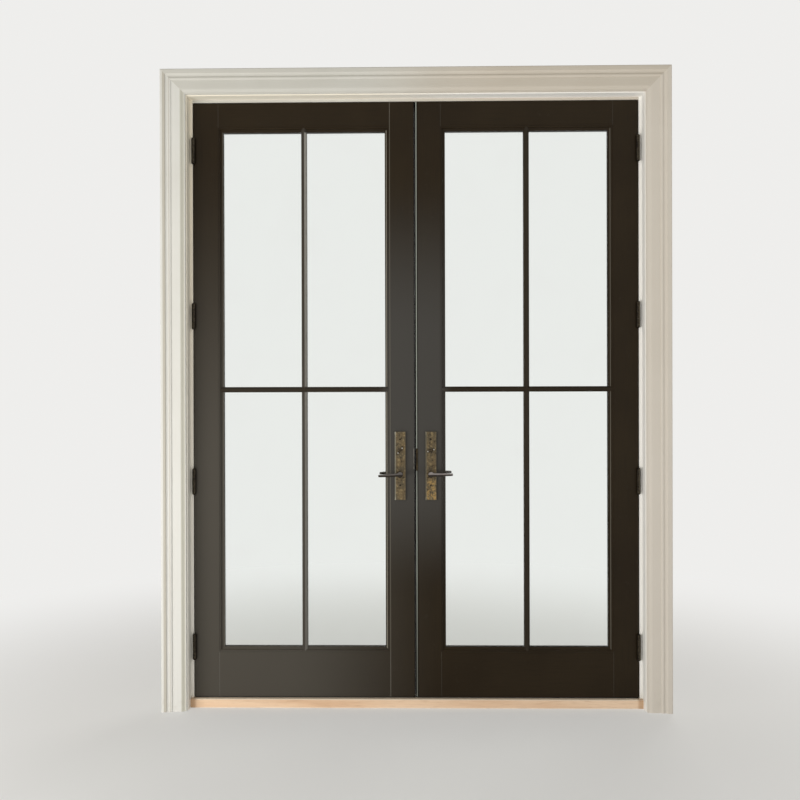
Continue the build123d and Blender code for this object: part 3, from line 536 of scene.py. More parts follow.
def plate_rim_and_highlights(base, x, z, plate, bevel, blotch, speck):
    """Lays a plate's bare rim over a colour, then the painted highlight of its left bevel and that bevel's two corners.
    """
    low, high = plate
    middle = [(a + b) / 2 for a, b in zip(low, high)]
    half = [(b - a) / 2 for a, b in zip(low, high)]
    side = abs(x - middle[0]).rise(half[0] - 0.0026, half[0] - 0.0012)
    end = abs(z - middle[2]).rise(half[2] - 0.0026, half[2] - 0.0012)
    base = over(side.at_least(end) * (0.55 + speck * 0.45) * 0.8, base, RIM_BRIGHT)
    # painted highlight along the left bevel
    bevel_highlight = x.fall(low[0] + 0.0036, low[0] + 0.0056) * (0.6 + blotch * 0.6)
    base = over(bevel_highlight.at_most(1.0), base, bevel)
    # painted highlight at the bevel's two corners
    corner = x.fall(low[0] + 0.003, low[0] + 0.006) * abs(z - middle[2]).rise(half[2] - 0.02, half[2])
    return over(corner * 0.8, base, times(bevel, 1.7))


def bronze(name, plate=None, bevel=DIM_BEVEL_HIGHLIGHT, gold_below=None, tone=1.0):
    """Antique bronze. plate is the box of a plate with bare rims, gold_below the height under which gold shows."""
    material, place = new_finish(name, metallic=0.88)
    x, _, z = parts_of(place)
    blotch = noise(place, 95.0, 4.0, 0.65, 0.4)
    speck = noise(place, 420.0, 3.0, 0.6)
    wide = noise(place, 24.0, 3.0)
    base = over(wide.rise(0.35, 0.65), times(BRONZE_BROWN, tone), times(BRONZE_WARM, tone))
    base = over(blotch.rise(0.52, 0.64), base, times(BRONZE_LIGHT, tone))
    base = over(blotch.fall(0.36, 0.46) * 0.8, base, times(BRONZE_DARK, tone))
    if gold_below is not None:
        gold = z.fall(gold_below - 0.02, gold_below) * noise(place, 70.0, 4.0, 0.7).rise(0.44, 0.60)
        base = over(gold * 0.85, base, GOLD)
    base = over(speck.rise(0.62, 0.78) * 0.5, base, times(BRONZE_SPECK, tone))
    if plate is not None:
        base = plate_rim_and_highlights(base, x, z, plate, bevel, blotch, speck)
    return complete(material, base, 0.36 + blotch * 0.16 + speck * 0.10, blotch * 0.7 + speck * 0.3, relief=0.00022)


# %% Plates, collars, screws and strike
# the left inside plate's bevel gets the brighter painted highlight
PLATES = {
    "left_inside_escutcheon": {"bevel": BRIGHT_BEVEL_HIGHLIGHT, "tone": 1.3},
    "left_outside_escutcheon": {},
    "right_inside_escutcheon": {"gold_below": LEVER_HEIGHT - 0.012, "tone": 1.2},
    "right_outside_escutcheon": {},
}
collar_bronze = bronze("bronze_collars", tone=0.75)
screw_bronze = bronze("bronze_screws", tone=0.22)
strike_bronze = bronze("bronze_strike", tone=0.45)
plate_bronze = {node: bronze("bronze_" + node, plate=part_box(node), **wear_and_highlight) for node, wear_and_highlight in PLATES.items()}

# %% [markdown]
# The levers and thumb-turns are darker than the plates. A lever's dark cast colour is partly its own and partly a
# painted reflection of the dark room below it, and a painted reflection lightens it along its upper side. Painted
# glints lighten a thumb-turn at both ends of its grip. The left lever hangs a little, so the line above which its
# painted reflection lies slopes with it. The tones differ from left to right, as the light falls on them differently.

# %% Bronze for levers and thumb-turns
DROOP = {"left": math.radians(3.5), "right": 0.0}
# painted reflections on the levers' upper sides
UPPER_REFLECTION = {"left": (0.140, 0.126, 0.117), "right": (0.300, 0.268, 0.258)}
CAST_DARK, CAST_BROWN, CAST_SPECK = (0.026, 0.021, 0.017), (0.050, 0.040, 0.031), (0.018, 0.015, 0.012)
GRIP_ENDS, GRIP_FRONT = (0.0095, 0.0135), (-0.019, -0.014)
# the bright grip colour is a painted glint
GRIP_DARK, GRIP_BROWN, GRIP_GLINT = (0.040, 0.030, 0.020), (0.095, 0.070, 0.042), (0.640, 0.610, 0.540)


def lever_bronze(leaf):
    """Dark cast bronze, with a painted reflection along the upper side of a leaf's levers."""
    material, place = new_finish(f"bronze_{leaf}_levers", metallic=0.85)
    x, _, z = parts_of(place)
    blotch = noise(place, 130.0, 4.0, 0.65)
    speck = noise(place, 500.0, 3.0, 0.6)
    line = LEVER_HEIGHT - (abs(x) - LOCK_X) * math.tan(DROOP[leaf])
    # painted reflection along the upper side of the lever
    upper = (z - line).rise(-0.002, 0.003) * (0.7 + blotch * 0.5)
    base = over(blotch.rise(0.4, 0.65), CAST_DARK, CAST_BROWN)
    base = over(upper.at_most(1.0), base, UPPER_REFLECTION[leaf])
    base = over(speck.rise(0.62, 0.78) * 0.4, base, CAST_SPECK)
    return complete(material, base, 0.30 + blotch * 0.16 + speck * 0.08, blotch * 0.7 + speck * 0.3, relief=0.00016)


levers_bronze = {leaf: lever_bronze(leaf) for leaf in DROOP}

material, place = new_finish("bronze_thumb_turns", metallic=0.88)
x, y, z = parts_of(place)
blotch = noise(place, 160.0, 4.0, 0.6)
aside, above = abs(x) - LOCK_X, z - TURN_HEIGHT
reach = (aside * aside + above * above).root()
# painted glints at both ends of the grip
end_glints = reach.rise(*GRIP_ENDS) * y.fall(*GRIP_FRONT) * (0.7 + blotch * 0.5)
base = over(blotch.rise(0.4, 0.65), GRIP_DARK, GRIP_BROWN)
base = over(end_glints.at_most(1.0), base, GRIP_GLINT)
turns_bronze = complete(material, base, 0.28 + blotch * 0.18, blotch, relief=0.00012)

# %% [markdown]
# The hinges are near-black oiled bronze. Where the knuckles rub and hands pass, the black has gone and a grey-brown
# metal shows, mostly on the round of the barrel. Down the barrels on the right runs a thin painted highlight.

# %% Black bronze for the hinges
# the line on the right barrels is a painted highlight
BARREL_FRONT, HIGHLIGHT_X, HIGHLIGHT_WIDTH = (-0.0162, -0.0120), 0.9122, (0.0002, 0.0010)
OILED_DARK, OILED_BROWN, OILED_SPECK = (0.013, 0.009, 0.006), (0.027, 0.020, 0.012), (0.008, 0.006, 0.005)
KNUCKLE_BROWN, BARREL_HIGHLIGHT = (0.095, 0.078, 0.050), (0.420, 0.390, 0.310)
material, place = new_finish("black_bronze", metallic=0.75)
blotch = noise(place, 120.0, 4.0, 0.6)
speck = noise(place, 700.0, 2.0)
x, y, _ = parts_of(place)
on_barrel = y.fall(*BARREL_FRONT)
base = over(blotch.rise(0.35, 0.70), OILED_DARK, OILED_BROWN)
base = over(speck.rise(0.62, 0.8) * 0.4, base, OILED_SPECK)
base = over(on_barrel * blotch.rise(0.40, 0.62) * 0.6, base, KNUCKLE_BROWN)
# painted highlight down the right barrels
base = over(x.near(HIGHLIGHT_X, *HIGHLIGHT_WIDTH) * on_barrel * 0.8, base, BARREL_HIGHLIGHT)
black_bronze = complete(material, base, 0.34 + blotch * 0.18, blotch * 0.6 + speck * 0.4, relief=0.00010)

# %% [markdown]
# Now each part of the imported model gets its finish. Only the list of a part's materials changes: the shapes are the
# model's own. The panes' spacers and the lock cases get one too, because they show at the edges and when a leaf is
# open.

# %% Give every part its finish
finishes = {
    "left_jamb right_jamb": board_paint,
    "left_casing right_casing": frame_upright,
    "head_jamb head_casing": frame_level,
    "left_extension_jamb right_extension_jamb head_extension_jamb": board_paint,
    "oak_threshold": oak,
    "exterior_sill": sill_metal,
    "frame_weatherstrips meeting_seal left_door_sweep right_door_sweep": seal_rubber,
    "hinge_jamb_halves left_hinge_leaf_halves right_hinge_leaf_halves": black_bronze,
    "bolt_keepers latch_bolt deadbolt": steel_level,
    "left_lock_case right_lock_case top_shoot_bolt bottom_shoot_bolt": steel_upright,
    "left_hinge_stile left_meeting_stile right_hinge_stile right_meeting_stile": leaf_upright,
    "meeting_astragal": rubbed_astragal,
    "left_top_rail left_bottom_rail right_top_rail right_bottom_rail": leaf_level,
    "left_inside_muntins": muntin_left,
    "right_inside_muntins": muntin_right,
    "left_outside_muntins right_outside_muntins left_glazing_beads right_glazing_beads": leaf_upright,
    "left_inner_pane left_outer_pane right_inner_pane right_outer_pane": clear_glass,
    "left_pane_spacer right_pane_spacer": spacer_metal,
    "left_inside_lever left_outside_lever": levers_bronze["left"],
    "right_inside_lever right_outside_lever": levers_bronze["right"],
    "left_thumb_turn right_thumb_turn": turns_bronze,
    "meeting_strike": strike_bronze,
}
by_node = {node: material for group, material in finishes.items() for node in group.split()}
by_node.update(plate_bronze)
for name, node in nodes.items():
    node.data.materials.clear()
    node.data.materials.append(by_node[name])
print(len(by_node), "parts have a finish")

# %% [markdown]
# The levers, thumb-turns and collars are too rounded for plain solids, so they are skinned from rings of points. An
# oval gives most of the rings: it is a superellipse, which a power above 2 makes squarer. A shape turned on a lathe is
# a stack of circles.

# %% Rings of points and skins over them


def oval(half_width, half_height, power=2.0, count=28):
    """Points round an oval. A power above 2 squares it."""
    points = []
    for i in range(count):
        c, s = math.cos(math.tau * i / count), math.sin(math.tau * i / count)
        x = half_width * math.copysign(abs(c) ** (2 / power), c)
        points.append((x, half_height * math.copysign(abs(s) ** (2 / power), s)))
    return points


def skin(shape, rings, closed_row=False):
    """Faces over rings of points, with caps unless the last ring joins the first."""
    rows = [[shape.verts.new(point) for point in ring] for ring in rings]
    if closed_row:
        rows.append(rows[0])
    for lower, upper in zip(rows, rows[1:]):
        for i in range(len(lower)):
            j = (i + 1) % len(lower)
            shape.faces.new((lower[i], lower[j], upper[j], upper[i]))
    if not closed_row:
        shape.faces.new(rows[0])
        shape.faces.new(rows[-1][::-1])


def turned(shape, profile, count=40, closed=False):
    """A shape turned on the Y axis from a profile of (radius, y)."""
    rings = [[(r * x, y, r * z) for x, z in oval(1.0, 1.0, count=count)] for r, y in profile]
    skin(shape, rings, closed)


print("an oval has", len(oval(1.0, 1.0)), "points")

# %% [markdown]
# A finished piece is a plain mesh whose object stands at the origin, with its place in the mesh, as every part of the
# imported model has. It rides on a body of the model, so that it moves with the doors. What is made once for the inside
# of the left leaf is mirrored for the right leaf and for the outside.

# %% From a skin to a piece
LEAF_MIDDLE_Y = 0.02225
PLATE_FACE = 0.009
HERE = Matrix.Identity(4)
ACROSS = Matrix.Diagonal((-1.0, 1.0, 1.0, 1.0))
OUTWARDS = Matrix.Translation((0, 2 * LEAF_MIDDLE_Y, 0)) @ Matrix.Diagonal((1.0, -1.0, 1.0, 1.0))
BOTH_LEAVES = (("left", HERE), ("right", ACROSS))


def mesh_of(name, shape):
    """A mesh with its faces turned outwards and shaded smooth."""
    bmesh.ops.recalc_face_normals(shape, faces=shape.faces)
    mesh = bpy.data.meshes.new(name)
    shape.to_mesh(mesh)
    shape.free()
    for face in mesh.polygons:
        face.use_smooth = True
    return mesh


def applied(holder):
    """The mesh of an object with its modifiers applied. The object itself is deleted."""
    result = bpy.data.meshes.new_from_object(holder.evaluated_get(bpy.context.evaluated_depsgraph_get()))
    bpy.data.objects.remove(holder)
    return result


def finished(name, mesh, modifiers):
    """The mesh after a list of (modifier type, settings), as a plain mesh."""
    holder = bpy.data.objects.new(name, mesh)
    scene.collection.objects.link(holder)
    for kind, settings in modifiers:
        modifier = holder.modifiers.new(kind.lower(), kind)
        for setting, value in settings.items():
            setattr(modifier, setting, value)
    result = applied(holder)
    result.name = name
    return result


def placed(name, mesh, matrix, material, body, replaced=()):
    """A copy of a mesh at a place, riding on a body."""
    copy = mesh.copy()
    copy.name = name
    copy.transform(matrix)
    if matrix.determinant() < 0:
        copy.flip_normals()
    copy.materials.clear()
    copy.materials.append(material)
    piece = bpy.data.objects.new(name, copy)
    scene.collection.objects.link(piece)
    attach(piece, body)
    if replaced:
        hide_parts(*replaced)
    print(name, len(copy.polygons), "faces")


print("leaf's middle at", LEAF_MIDDLE_Y, "plate's face at", -PLATE_FACE)

# %% [markdown]
# The levers are bronze castings. Their arm is a bar that bends back a little towards its tip, and it grows out of a
# round head on the neck. A casting has no sharp inner corners, so the three simple shapes are skinned separately,
# then fused and smoothed: Blender's Remesh turns them into one closed skin, Smooth rounds the joints as a pattern
# maker's fillets do, and Decimate thins the result. One lever is made, then placed four times.

# %% Cast one lever
HEAD_RADIUS, NECK_RADIUS = 0.0119, 0.0079
LEVER_FACE, LEVER_BACK, SPINDLE_END = -0.0579, -0.0451, -0.004
HEAD_PROFILE = (
    (0.0096, LEVER_FACE), (0.0112, LEVER_FACE + 0.0004), (HEAD_RADIUS, LEVER_FACE + 0.0016),
    (HEAD_RADIUS, LEVER_BACK - 0.0012), (0.0108, LEVER_BACK),
)
NECK_PROFILE = ((NECK_RADIUS, LEVER_BACK - 0.004), (NECK_RADIUS, SPINDLE_END))
ARM_SQUARENESS = 3.2
ARM_STATIONS = (  # distance from the head, middle y, half depth, half height
    (0.000, -0.0515, 0.0063, 0.0074), (0.020, -0.0515, 0.0063, 0.0070), (0.040, -0.0515, 0.0061, 0.0065),
    (0.055, -0.0512, 0.0057, 0.0061), (0.068, -0.0500, 0.0050, 0.0057), (0.080, -0.0485, 0.0043, 0.0053),
    (0.0865, -0.0477, 0.0037, 0.0048), (0.0886, -0.0474, 0.0026, 0.0035),
)
CASTING = [
    ("REMESH", {"mode": "VOXEL", "voxel_size": 0.0007}),
    ("SMOOTH", {"factor": 0.5, "iterations": 5}),
    ("DECIMATE", {"ratio": 0.22}),
]
lever_shape = bmesh.new()
turned(lever_shape, HEAD_PROFILE)
turned(lever_shape, NECK_PROFILE)
arm = [[(-x, y + dy, dz) for dy, dz in oval(deep, high, ARM_SQUARENESS)] for x, y, deep, high in ARM_STATIONS]
skin(lever_shape, arm)
lever_mesh = finished("lever", mesh_of("lever_parts", lever_shape), CASTING)
print(len(lever_mesh.polygons), "faces in the lever")

# %% Place the four levers
for leaf, side in BOTH_LEAVES:
    at_lock = Matrix.Translation((-LOCK_X, 0, LEVER_HEIGHT)) @ Matrix.Rotation(-DROOP[leaf], 4, "Y")
    for face, flip in (("inside", HERE), ("outside", OUTWARDS)):
        node = f"{leaf}_{face}_lever"
        placed(f"{node}_casting", lever_mesh, flip @ side @ at_lock, levers_bronze[leaf], f"{leaf}_lever", [node])

# %% [markdown]
# The thumb-turn is an oval grip, a little narrower where it meets the plate, with its front edge rounded over. Its
# outline is the same oval at every depth, only drawn in, so it is skinned over a few such outlines. A round stem joins
# it to the plate.

# %% Shape of a thumb-turn
GRIP_LENGTH, GRIP_WIDTH, GRIP_DEPTH = 0.031, 0.009, 0.014
GRIP_BACK, GRIP_SQUARENESS = -PLATE_FACE - 0.0003, 2.6
GRIP_STAGES = ((0.0, 0.82), (0.10, 0.90), (0.35, 0.96), (0.70, 1.0), (0.90, 0.985), (0.97, 0.93), (1.0, 0.82))
STEM_PROFILE = ((0.0037, GRIP_BACK - 0.001), (0.0037, -0.002))
grip_shape = bmesh.new()
outlines = []
for depth, scale in GRIP_STAGES:
    inset = (1.0 - scale) * GRIP_WIDTH
    outline = oval(GRIP_LENGTH / 2 - inset, GRIP_WIDTH / 2 - inset, GRIP_SQUARENESS, 48)
    outlines.append([(x, GRIP_BACK - depth * GRIP_DEPTH, z) for x, z in outline])
skin(grip_shape, outlines)
turned(grip_shape, STEM_PROFILE, 24)
grip_mesh = mesh_of("grip", grip_shape)
print(len(grip_mesh.polygons), "faces in the grip")

# %% [markdown]
# The collars round the levers' necks are turned, as the real ones are. Their profile is closed: its last circle joins
# the first, which makes a ring and needs no caps. Then the thumb-turns and the collars are placed. At rest the left
# grip stands slanting and the right one nearly level.

# %% Shape of a collar
COLLAR_INNER, COLLAR_OUTER, COLLAR_HEIGHT = 0.0083, 0.0130, 0.0030
COLLAR_FRONT = -PLATE_FACE - COLLAR_HEIGHT
COLLAR_PROFILE = (
    (COLLAR_INNER, -PLATE_FACE), (COLLAR_OUTER, -PLATE_FACE), (COLLAR_OUTER, -PLATE_FACE - 0.45 * COLLAR_HEIGHT),
    (COLLAR_OUTER - 0.3 * COLLAR_HEIGHT, COLLAR_FRONT + 0.1 * COLLAR_HEIGHT),
    (COLLAR_OUTER - 0.7 * COLLAR_HEIGHT, COLLAR_FRONT), (COLLAR_INNER, COLLAR_FRONT),
)
collar_shape = bmesh.new()
turned(collar_shape, COLLAR_PROFILE, closed=True)
collar_mesh = mesh_of("collar", collar_shape)
print(len(collar_mesh.polygons), "faces in the collar")

# %% Place the thumb-turns and collars
TURN_TILT = {"left": math.radians(50.0), "right": math.radians(-17.0)}
to_lever = Matrix.Translation((-LOCK_X, 0, LEVER_HEIGHT))
for leaf, side in BOTH_LEAVES:
    to_turn = Matrix.Translation((-LOCK_X, 0, TURN_HEIGHT)) @ Matrix.Rotation(-TURN_TILT[leaf], 4, "Y")
    node = f"{leaf}_thumb_turn"
    placed(f"{node}_grip", grip_mesh, side @ to_turn, turns_bronze, node, [node])
    placed(f"{leaf}_inside_collar", collar_mesh, side @ to_lever, collar_bronze, f"{leaf}_leaf")
    placed(f"{leaf}_outside_collar", collar_mesh, OUTWARDS @ side @ to_lever, collar_bronze, f"{leaf}_leaf")

# %% [markdown]
# A thin rubber fin closes the last of the gap between the leaves and keeps the daylight out. It stands on the edge of
# the right leaf and almost touches the left one. Behind the strike it has a broad foot, which lies on the strike's
# back. Both are strips of one section from bottom to top, so two rings are enough for each.

# %% The fin of the meeting seal
FIN_TIP, FIN_ROOT, FIN_OVERLAP = -0.00238, 0.00245, 0.001
FIN_SIDES, FOOT_SIDES = (0.0428, 0.0443), (0.0416, 0.0443)
STRIP_SQUARENESS = 6.0


def rubber_strip(shape, x_span, y_span, z_span):
    """A rounded strip between two heights."""
    middle = [(a + b) / 2 for a, b in (x_span, y_span)]
    outline = oval((x_span[1] - x_span[0]) / 2, (y_span[1] - y_span[0]) / 2, STRIP_SQUARENESS, 24)
    skin(shape, [[(middle[0] + x, middle[1] + y, z) for x, y in outline] for z in z_span])


astragal_low, astragal_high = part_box("meeting_astragal")
strike_low, strike_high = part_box("meeting_strike")
fin_shape = bmesh.new()
rubber_strip(fin_shape, (FIN_TIP, FIN_ROOT), FIN_SIDES, (astragal_low[2], astragal_high[2]))
rubber_strip(fin_shape, (FIN_ROOT - FIN_OVERLAP, strike_high[0]), FOOT_SIDES, (strike_low[2], strike_high[2]))
placed("meeting_seal_fin", mesh_of("fin", fin_shape), HERE, seal_rubber, "right_leaf")

# %% [markdown]
# Screws and the button tips of the hinge pins repeat, so Geometry Nodes place them. The tree takes points, sets one
# head on each, turns it to face the right way, spins it about its own axis by a seeded random angle, and makes it
# real geometry with its material. The plates' screws are slotted, the hinges' have a cross.

# %% A tree that sets heads on points


def heads_tree():
    """Points in, heads out: one tree for screws and pin tips."""
    tree = bpy.data.node_groups.new("heads_on_points", "GeometryNodeTree")
    tree.is_modifier = True
    sockets = (
        ("Points", "NodeSocketGeometry"), ("Head", "NodeSocketObject"), ("Facing", "NodeSocketRotation"),
        ("Radius", "NodeSocketFloat"), ("Spin", "NodeSocketFloat"), ("Seed", "NodeSocketInt"),
        ("Finish", "NodeSocketMaterial"),
    )
    for name, kind in sockets:
        tree.interface.new_socket(name, in_out="INPUT", socket_type=kind)
    tree.interface.new_socket("Heads", in_out="OUTPUT", socket_type="NodeSocketGeometry")

    def add(kind, **links):
        made = tree.nodes.new(kind)
        for socket, source in links.items():
            tree.links.new(source, made.inputs[socket])
        return made

    given = add("NodeGroupInput").outputs
    head = add("GeometryNodeObjectInfo", Object=given["Head"])
    spread = add("FunctionNodeRandomValue", Max=given["Spin"], Seed=given["Seed"])
    spin = add("ShaderNodeCombineXYZ", Z=spread.outputs["Value"])
    size = add("ShaderNodeCombineXYZ", X=given["Radius"], Y=given["Radius"], Z=given["Radius"])
    heads = add(
        "GeometryNodeInstanceOnPoints", Points=given["Points"], Instance=head.outputs["Geometry"],
        Rotation=given["Facing"], Scale=size.outputs[0],
    )
    spun = add("GeometryNodeRotateInstances", Instances=heads.outputs[0], Rotation=spin.outputs[0])
    real = add("GeometryNodeRealizeInstances", Geometry=spun.outputs[0])
    painted = add("GeometryNodeSetMaterial", Geometry=real.outputs[0], Material=given["Finish"])
    add("NodeGroupOutput", Heads=painted.outputs[0])
    return tree


heads_on_points = heads_tree()
print(len(heads_on_points.nodes), "nodes in the tree")

# %% [markdown]
# The heads are turned with a radius of 1 and scaled by the tree. A slot is cut with a bar, and a cross with two bars
# at right angles, by Boolean modifiers, so that it is a real hollow. The masters that the tree copies are deleted once
# every row is set.

# %% Shapes of the heads
DOME_PROFILE = ((0.55, 0.5), (1.0, 0.0), (0.97, -0.09), (0.70, -0.24), (0.30, -0.31))
TIP_PROFILE = ((0.80, 0.25), (0.86, 0.0), (1.0, -0.05), (1.0, -0.20), (0.80, -0.44), (0.42, -0.59), (0.1, -0.63))
SLOT_LENGTH, CROSS_LENGTH, BAR_DEPTH, BAR_WIDTH = 2.4, 1.2, 0.6, 0.24
BAR_MIDDLE = Matrix.Translation((0, -0.38, 0))
FACE_UP = Matrix.Rotation(-math.pi / 2, 4, "X")


def cut_dome(name, bars, length):
    """A countersunk head of radius 1 facing +Z, with a slot of one bar or a cross of two."""
    shape = bmesh.new()
    turned(shape, DOME_PROFILE, 20)
    dome = mesh_of(name, shape)
    cutters = []
    for i in range(bars):
        cutter = bmesh.new()
        bmesh.ops.create_cube(cutter, size=1.0)
        size = Matrix.Diagonal((length, BAR_DEPTH, BAR_WIDTH, 1.0))
        turn = Matrix.Rotation(math.pi / 2 * i, 4, "Y")
        bmesh.ops.transform(cutter, matrix=turn @ BAR_MIDDLE @ size, verts=cutter.verts)
        holder = bpy.data.objects.new("cutter", mesh_of("cutter", cutter))
        scene.collection.objects.link(holder)
        cutters.append(holder)
    cuts = [("BOOLEAN", {"operation": "DIFFERENCE", "solver": "EXACT", "object": cutter}) for cutter in cutters]
    result = finished(name, dome, cuts)
    for cutter in cutters:
        bpy.data.objects.remove(cutter)
    for face in result.polygons:
        face.use_smooth = False
    return result


def master(mesh):
    """An object that the tree can copy, with its head facing +Z."""
    mesh.transform(FACE_UP)
    print(mesh.name, len(mesh.polygons), "faces")
    return bpy.data.objects.new(mesh.name, mesh)


slot_head = master(cut_dome("slot_head", 1, SLOT_LENGTH))
cross_head = master(cut_dome("cross_head", 2, CROSS_LENGTH))
tip_shape = bmesh.new()
turned(tip_shape, TIP_PROFILE, 28)
pin_tip = master(mesh_of("pin_tip", tip_shape))

# %% One row of heads
FACING = {
    "up": (0.0, 0.0, 0.0), "down": (math.pi, 0.0, 0.0), "inside": (math.pi / 2, 0.0, 0.0),
    "outside": (-math.pi / 2, 0.0, 0.0), "right": (0.0, math.pi / 2, 0.0), "left": (0.0, -math.pi / 2, 0.0),
}


def set_heads(name, head, points, facing, radius, body, material, seed=1):
    """Runs the tree on points and keeps the result as a plain mesh that rides on a body."""
    mesh = bpy.data.meshes.new(name)
    mesh.from_pydata(points, [], [])
    holder = bpy.data.objects.new(name, mesh)
    scene.collection.objects.link(holder)
    modifier = holder.modifiers.new("heads", "NODES")
    modifier.node_group = heads_on_points
    wanted = {
        "Head": head, "Facing": FACING[facing], "Radius": radius, "Spin": math.tau, "Seed": seed, "Finish": material,
    }
    for socket in heads_on_points.interface.items_tree:
        if socket.in_out == "INPUT" and socket.name in wanted:
            modifier[socket.identifier] = wanted[socket.name]
    result = applied(holder)
    piece = bpy.data.objects.new(name, result)
    scene.collection.objects.link(piece)
    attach(piece, body)
    print(name, len(points), "heads,", len(result.polygons), "faces")


print("heads can face", ", ".join(FACING))

# %% [markdown]
# Each plate has a screw near its top and one near its foot. Each hinge has four in either half, set in a bow round the
# barrel, and a button tip at both ends of its pin. The left and right doors differ only in the sign of X and in the
# way the heads face.

# %% Set the screws and pin tips
PLATE_SCREW_HEIGHTS, PLATE_SCREW_RADIUS = (0.910, 1.098), 0.0034
HINGE_LOWEST, HINGE_HIGHEST, HINGE_COUNT = 0.247, 2.283, 4
HINGE_HEIGHTS = [HINGE_LOWEST + i * (HINGE_HIGHEST - HINGE_LOWEST) / (HINGE_COUNT - 1) for i in range(HINGE_COUNT)]
HINGE_SCREWS, HINGE_SCREW_RADIUS = ((0.011, -0.036), (0.021, -0.013), (0.021, 0.013), (0.011, 0.036)), 0.0042
JAMB_FACE, LEAF_EDGE = 0.9135, 0.9105
PIN_X, PIN_Y, PIN_HALF, PIN_RADIUS = 0.9088, -0.0085, 0.051, 0.0063
PLATE_FACES = (("inside", -PLATE_FACE), ("outside", 2 * LEAF_MIDDLE_Y + PLATE_FACE))
for leaf, sign, jamb_facing, leaf_facing in (("left", -1, "right", "left"), ("right", 1, "left", "right")):
    body = f"{leaf}_leaf"
    for face, y in PLATE_FACES:
        points = [(sign * LOCK_X, y, z) for z in PLATE_SCREW_HEIGHTS]
        set_heads(f"{leaf}_{face}_plate_screws", slot_head, points, face, PLATE_SCREW_RADIUS, body,
                  screw_bronze, seed=3 + sign)
    points = [(sign * JAMB_FACE, y, z + dz) for z in HINGE_HEIGHTS for y, dz in HINGE_SCREWS]
    set_heads(f"{leaf}_jamb_hinge_screws", cross_head, points, jamb_facing, HINGE_SCREW_RADIUS, "frame",
              black_bronze, seed=5)
    points = [(sign * LEAF_EDGE, y, z + dz) for z in HINGE_HEIGHTS for y, dz in HINGE_SCREWS]
    set_heads(f"{leaf}_leaf_hinge_screws", cross_head, points, leaf_facing, HINGE_SCREW_RADIUS, body,
              black_bronze, seed=9)
    for end, way in ((1, "up"), (-1, "down")):
        points = [(sign * PIN_X, PIN_Y, z + end * PIN_HALF) for z in HINGE_HEIGHTS]
        set_heads(f"{leaf}_pin_tips_{way}", pin_tip, points, way, PIN_RADIUS, "frame", black_bronze)
for head in (slot_head, cross_head, pin_tip):
    bpy.data.objects.remove(head)

# %% [markdown]
# The room is reduced to a plain pale floor and a pale surround. The surround's own light is soft and even. For rays
# that come from the camera, from a mirroring surface or through glass, the surround shows a fixed pale tone in place
# of its light, so the glass and the metal see the same pale room as we do.

# %% The surround
SURROUND, EVEN_LIGHT = (0.86, 0.855, 0.84), (0.320, 0.303, 0.264)
world = bpy.data.worlds.new("pale_surround")
scene.world = world
world.use_nodes = True
tree = world.node_tree
sky = tree.nodes["Background"]
start = Wire(tree, sky.outputs[0])
camera_ray, pane_ray, mirror_ray = (
    start.node("ShaderNodeLightPath", {}, {}, output=f"Is {kind} Ray") for kind in ("Camera", "Transmission", "Glossy")
)
seen = camera_ray.at_least(pane_ray).at_least(mirror_ray)
plug(tree, sky.inputs["Color"], over(seen, EVEN_LIGHT, SURROUND))
plug(tree, sky.inputs["Strength"], 1.0)
print("surround", SURROUND)

# %% [markdown]
# The floor is a large pale square that keeps the doors' shadow. It also glows with the surround's own tone: by half
# near the doors, and wholly a few metres away, so that it melts into the surround and no horizon shows.

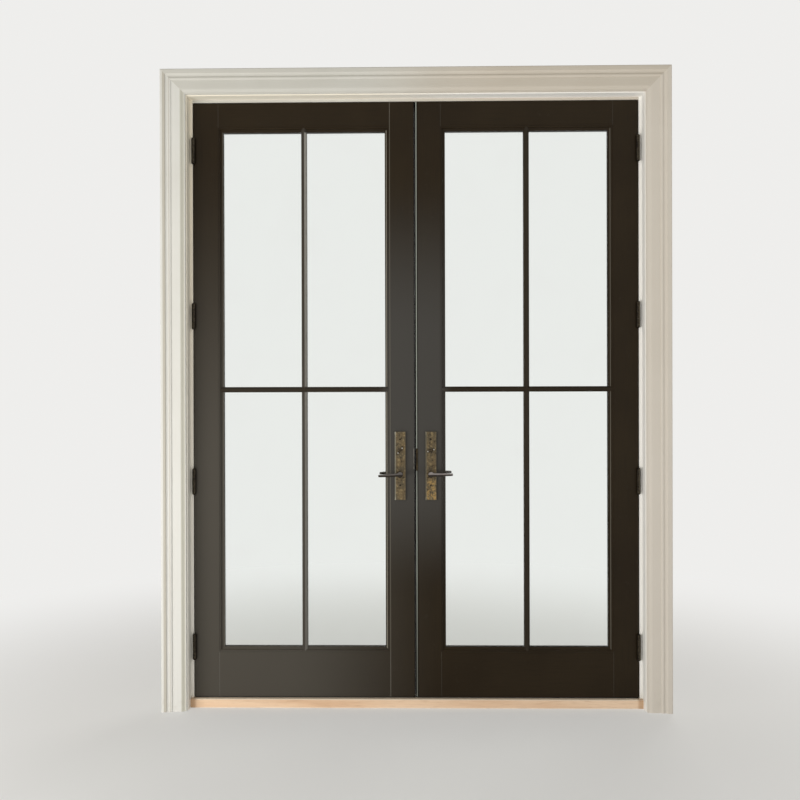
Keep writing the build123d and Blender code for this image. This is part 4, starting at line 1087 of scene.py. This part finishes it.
# %% The floor
FLOOR_HALF = 30.0
FADE_START, FADE_END = 1.0, 3.3
GLOW_NEAR = 0.45
material, place = new_finish("pale_floor", specular_ior_level=0.2)
cloud = noise(place, 1.3, 3.0)
floor_paint = complete(material, over(cloud, (0.79, 0.785, 0.77), (0.82, 0.815, 0.80)), 0.75 + cloud * 0.1)
tree = floor_paint.node_tree
near = Wire(tree, tree.nodes["Principled BSDF"].outputs[0])
distance = place.node("ShaderNodeVectorMath", {"operation": "LENGTH"}, {0: place}, output="Value")
far = near.node("ShaderNodeEmission", {}, {"Color": SURROUND})
melted = near.node("ShaderNodeMixShader", {}, {0: distance.rise(FADE_START, FADE_END, GLOW_NEAR), 1: near, 2: far})
plug(tree, tree.nodes["Material Output"].inputs["Surface"], melted)

floor_mesh = bpy.data.meshes.new("floor")
corners = [(x * FLOOR_HALF, y * FLOOR_HALF, 0) for x, y in ((-1, -1), (1, -1), (1, 1), (-1, 1))]
floor_mesh.from_pydata(corners, [], [(0, 1, 2, 3)])
floor_mesh.materials.append(floor_paint)
floor = bpy.data.objects.new("floor", floor_mesh)
scene.collection.objects.link(floor)

# %% [markdown]
# Soft light comes from the left of the room and from low down, as from a window whose sill is near the floor, so the
# left casing is the brightest, slopes that face down or left are lighter than the others, and the right casing is a
# step darker. A broad panel behind the camera and a weak one on the right keep the shadows open, and one outside lights
# the other face of the doors. None of them shows in the glass: a bare rectangle of light there would look false.

# %% Lamps
PANELS = (  # name, place, target, width, height, watts, colour
    ("window_light", (-2.8, -2.2, 0.55), (-0.3, 0.0, 1.0), 1.6, 1.0, 50.0, (1.0, 0.975, 0.93)),
    ("room_light", (-1.9, -5.0, 0.75), (-0.3, 0.0, 1.0), 2.6, 1.5, 38.0, (1.0, 0.985, 0.95)),
    ("fill_light", (3.6, -4.6, 1.4), (0.0, 0.0, 1.2), 3.0, 3.0, 14.0, (1.0, 0.98, 0.94)),
    ("outside_light", (2.6, 4.6, 2.4), (0.0, 0.0, 1.2), 3.0, 3.0, 120.0, (1.0, 1.0, 1.0)),
)
for name, place, target, width, height, watts, colour in PANELS:
    lamp = bpy.data.lights.new(name, "AREA")
    lamp.shape = "RECTANGLE"
    lamp.size = width
    lamp.size_y = height
    lamp.energy = watts
    lamp.color = colour
    holder = bpy.data.objects.new(name, lamp)
    holder.location = place
    holder.rotation_euler = (Vector(target) - Vector(place)).to_track_quat("-Z", "Y").to_euler()
    holder.visible_camera = False
    holder.visible_transmission = False
    holder.visible_glossy = False
    scene.collection.objects.link(holder)
    print(name, watts, "W")
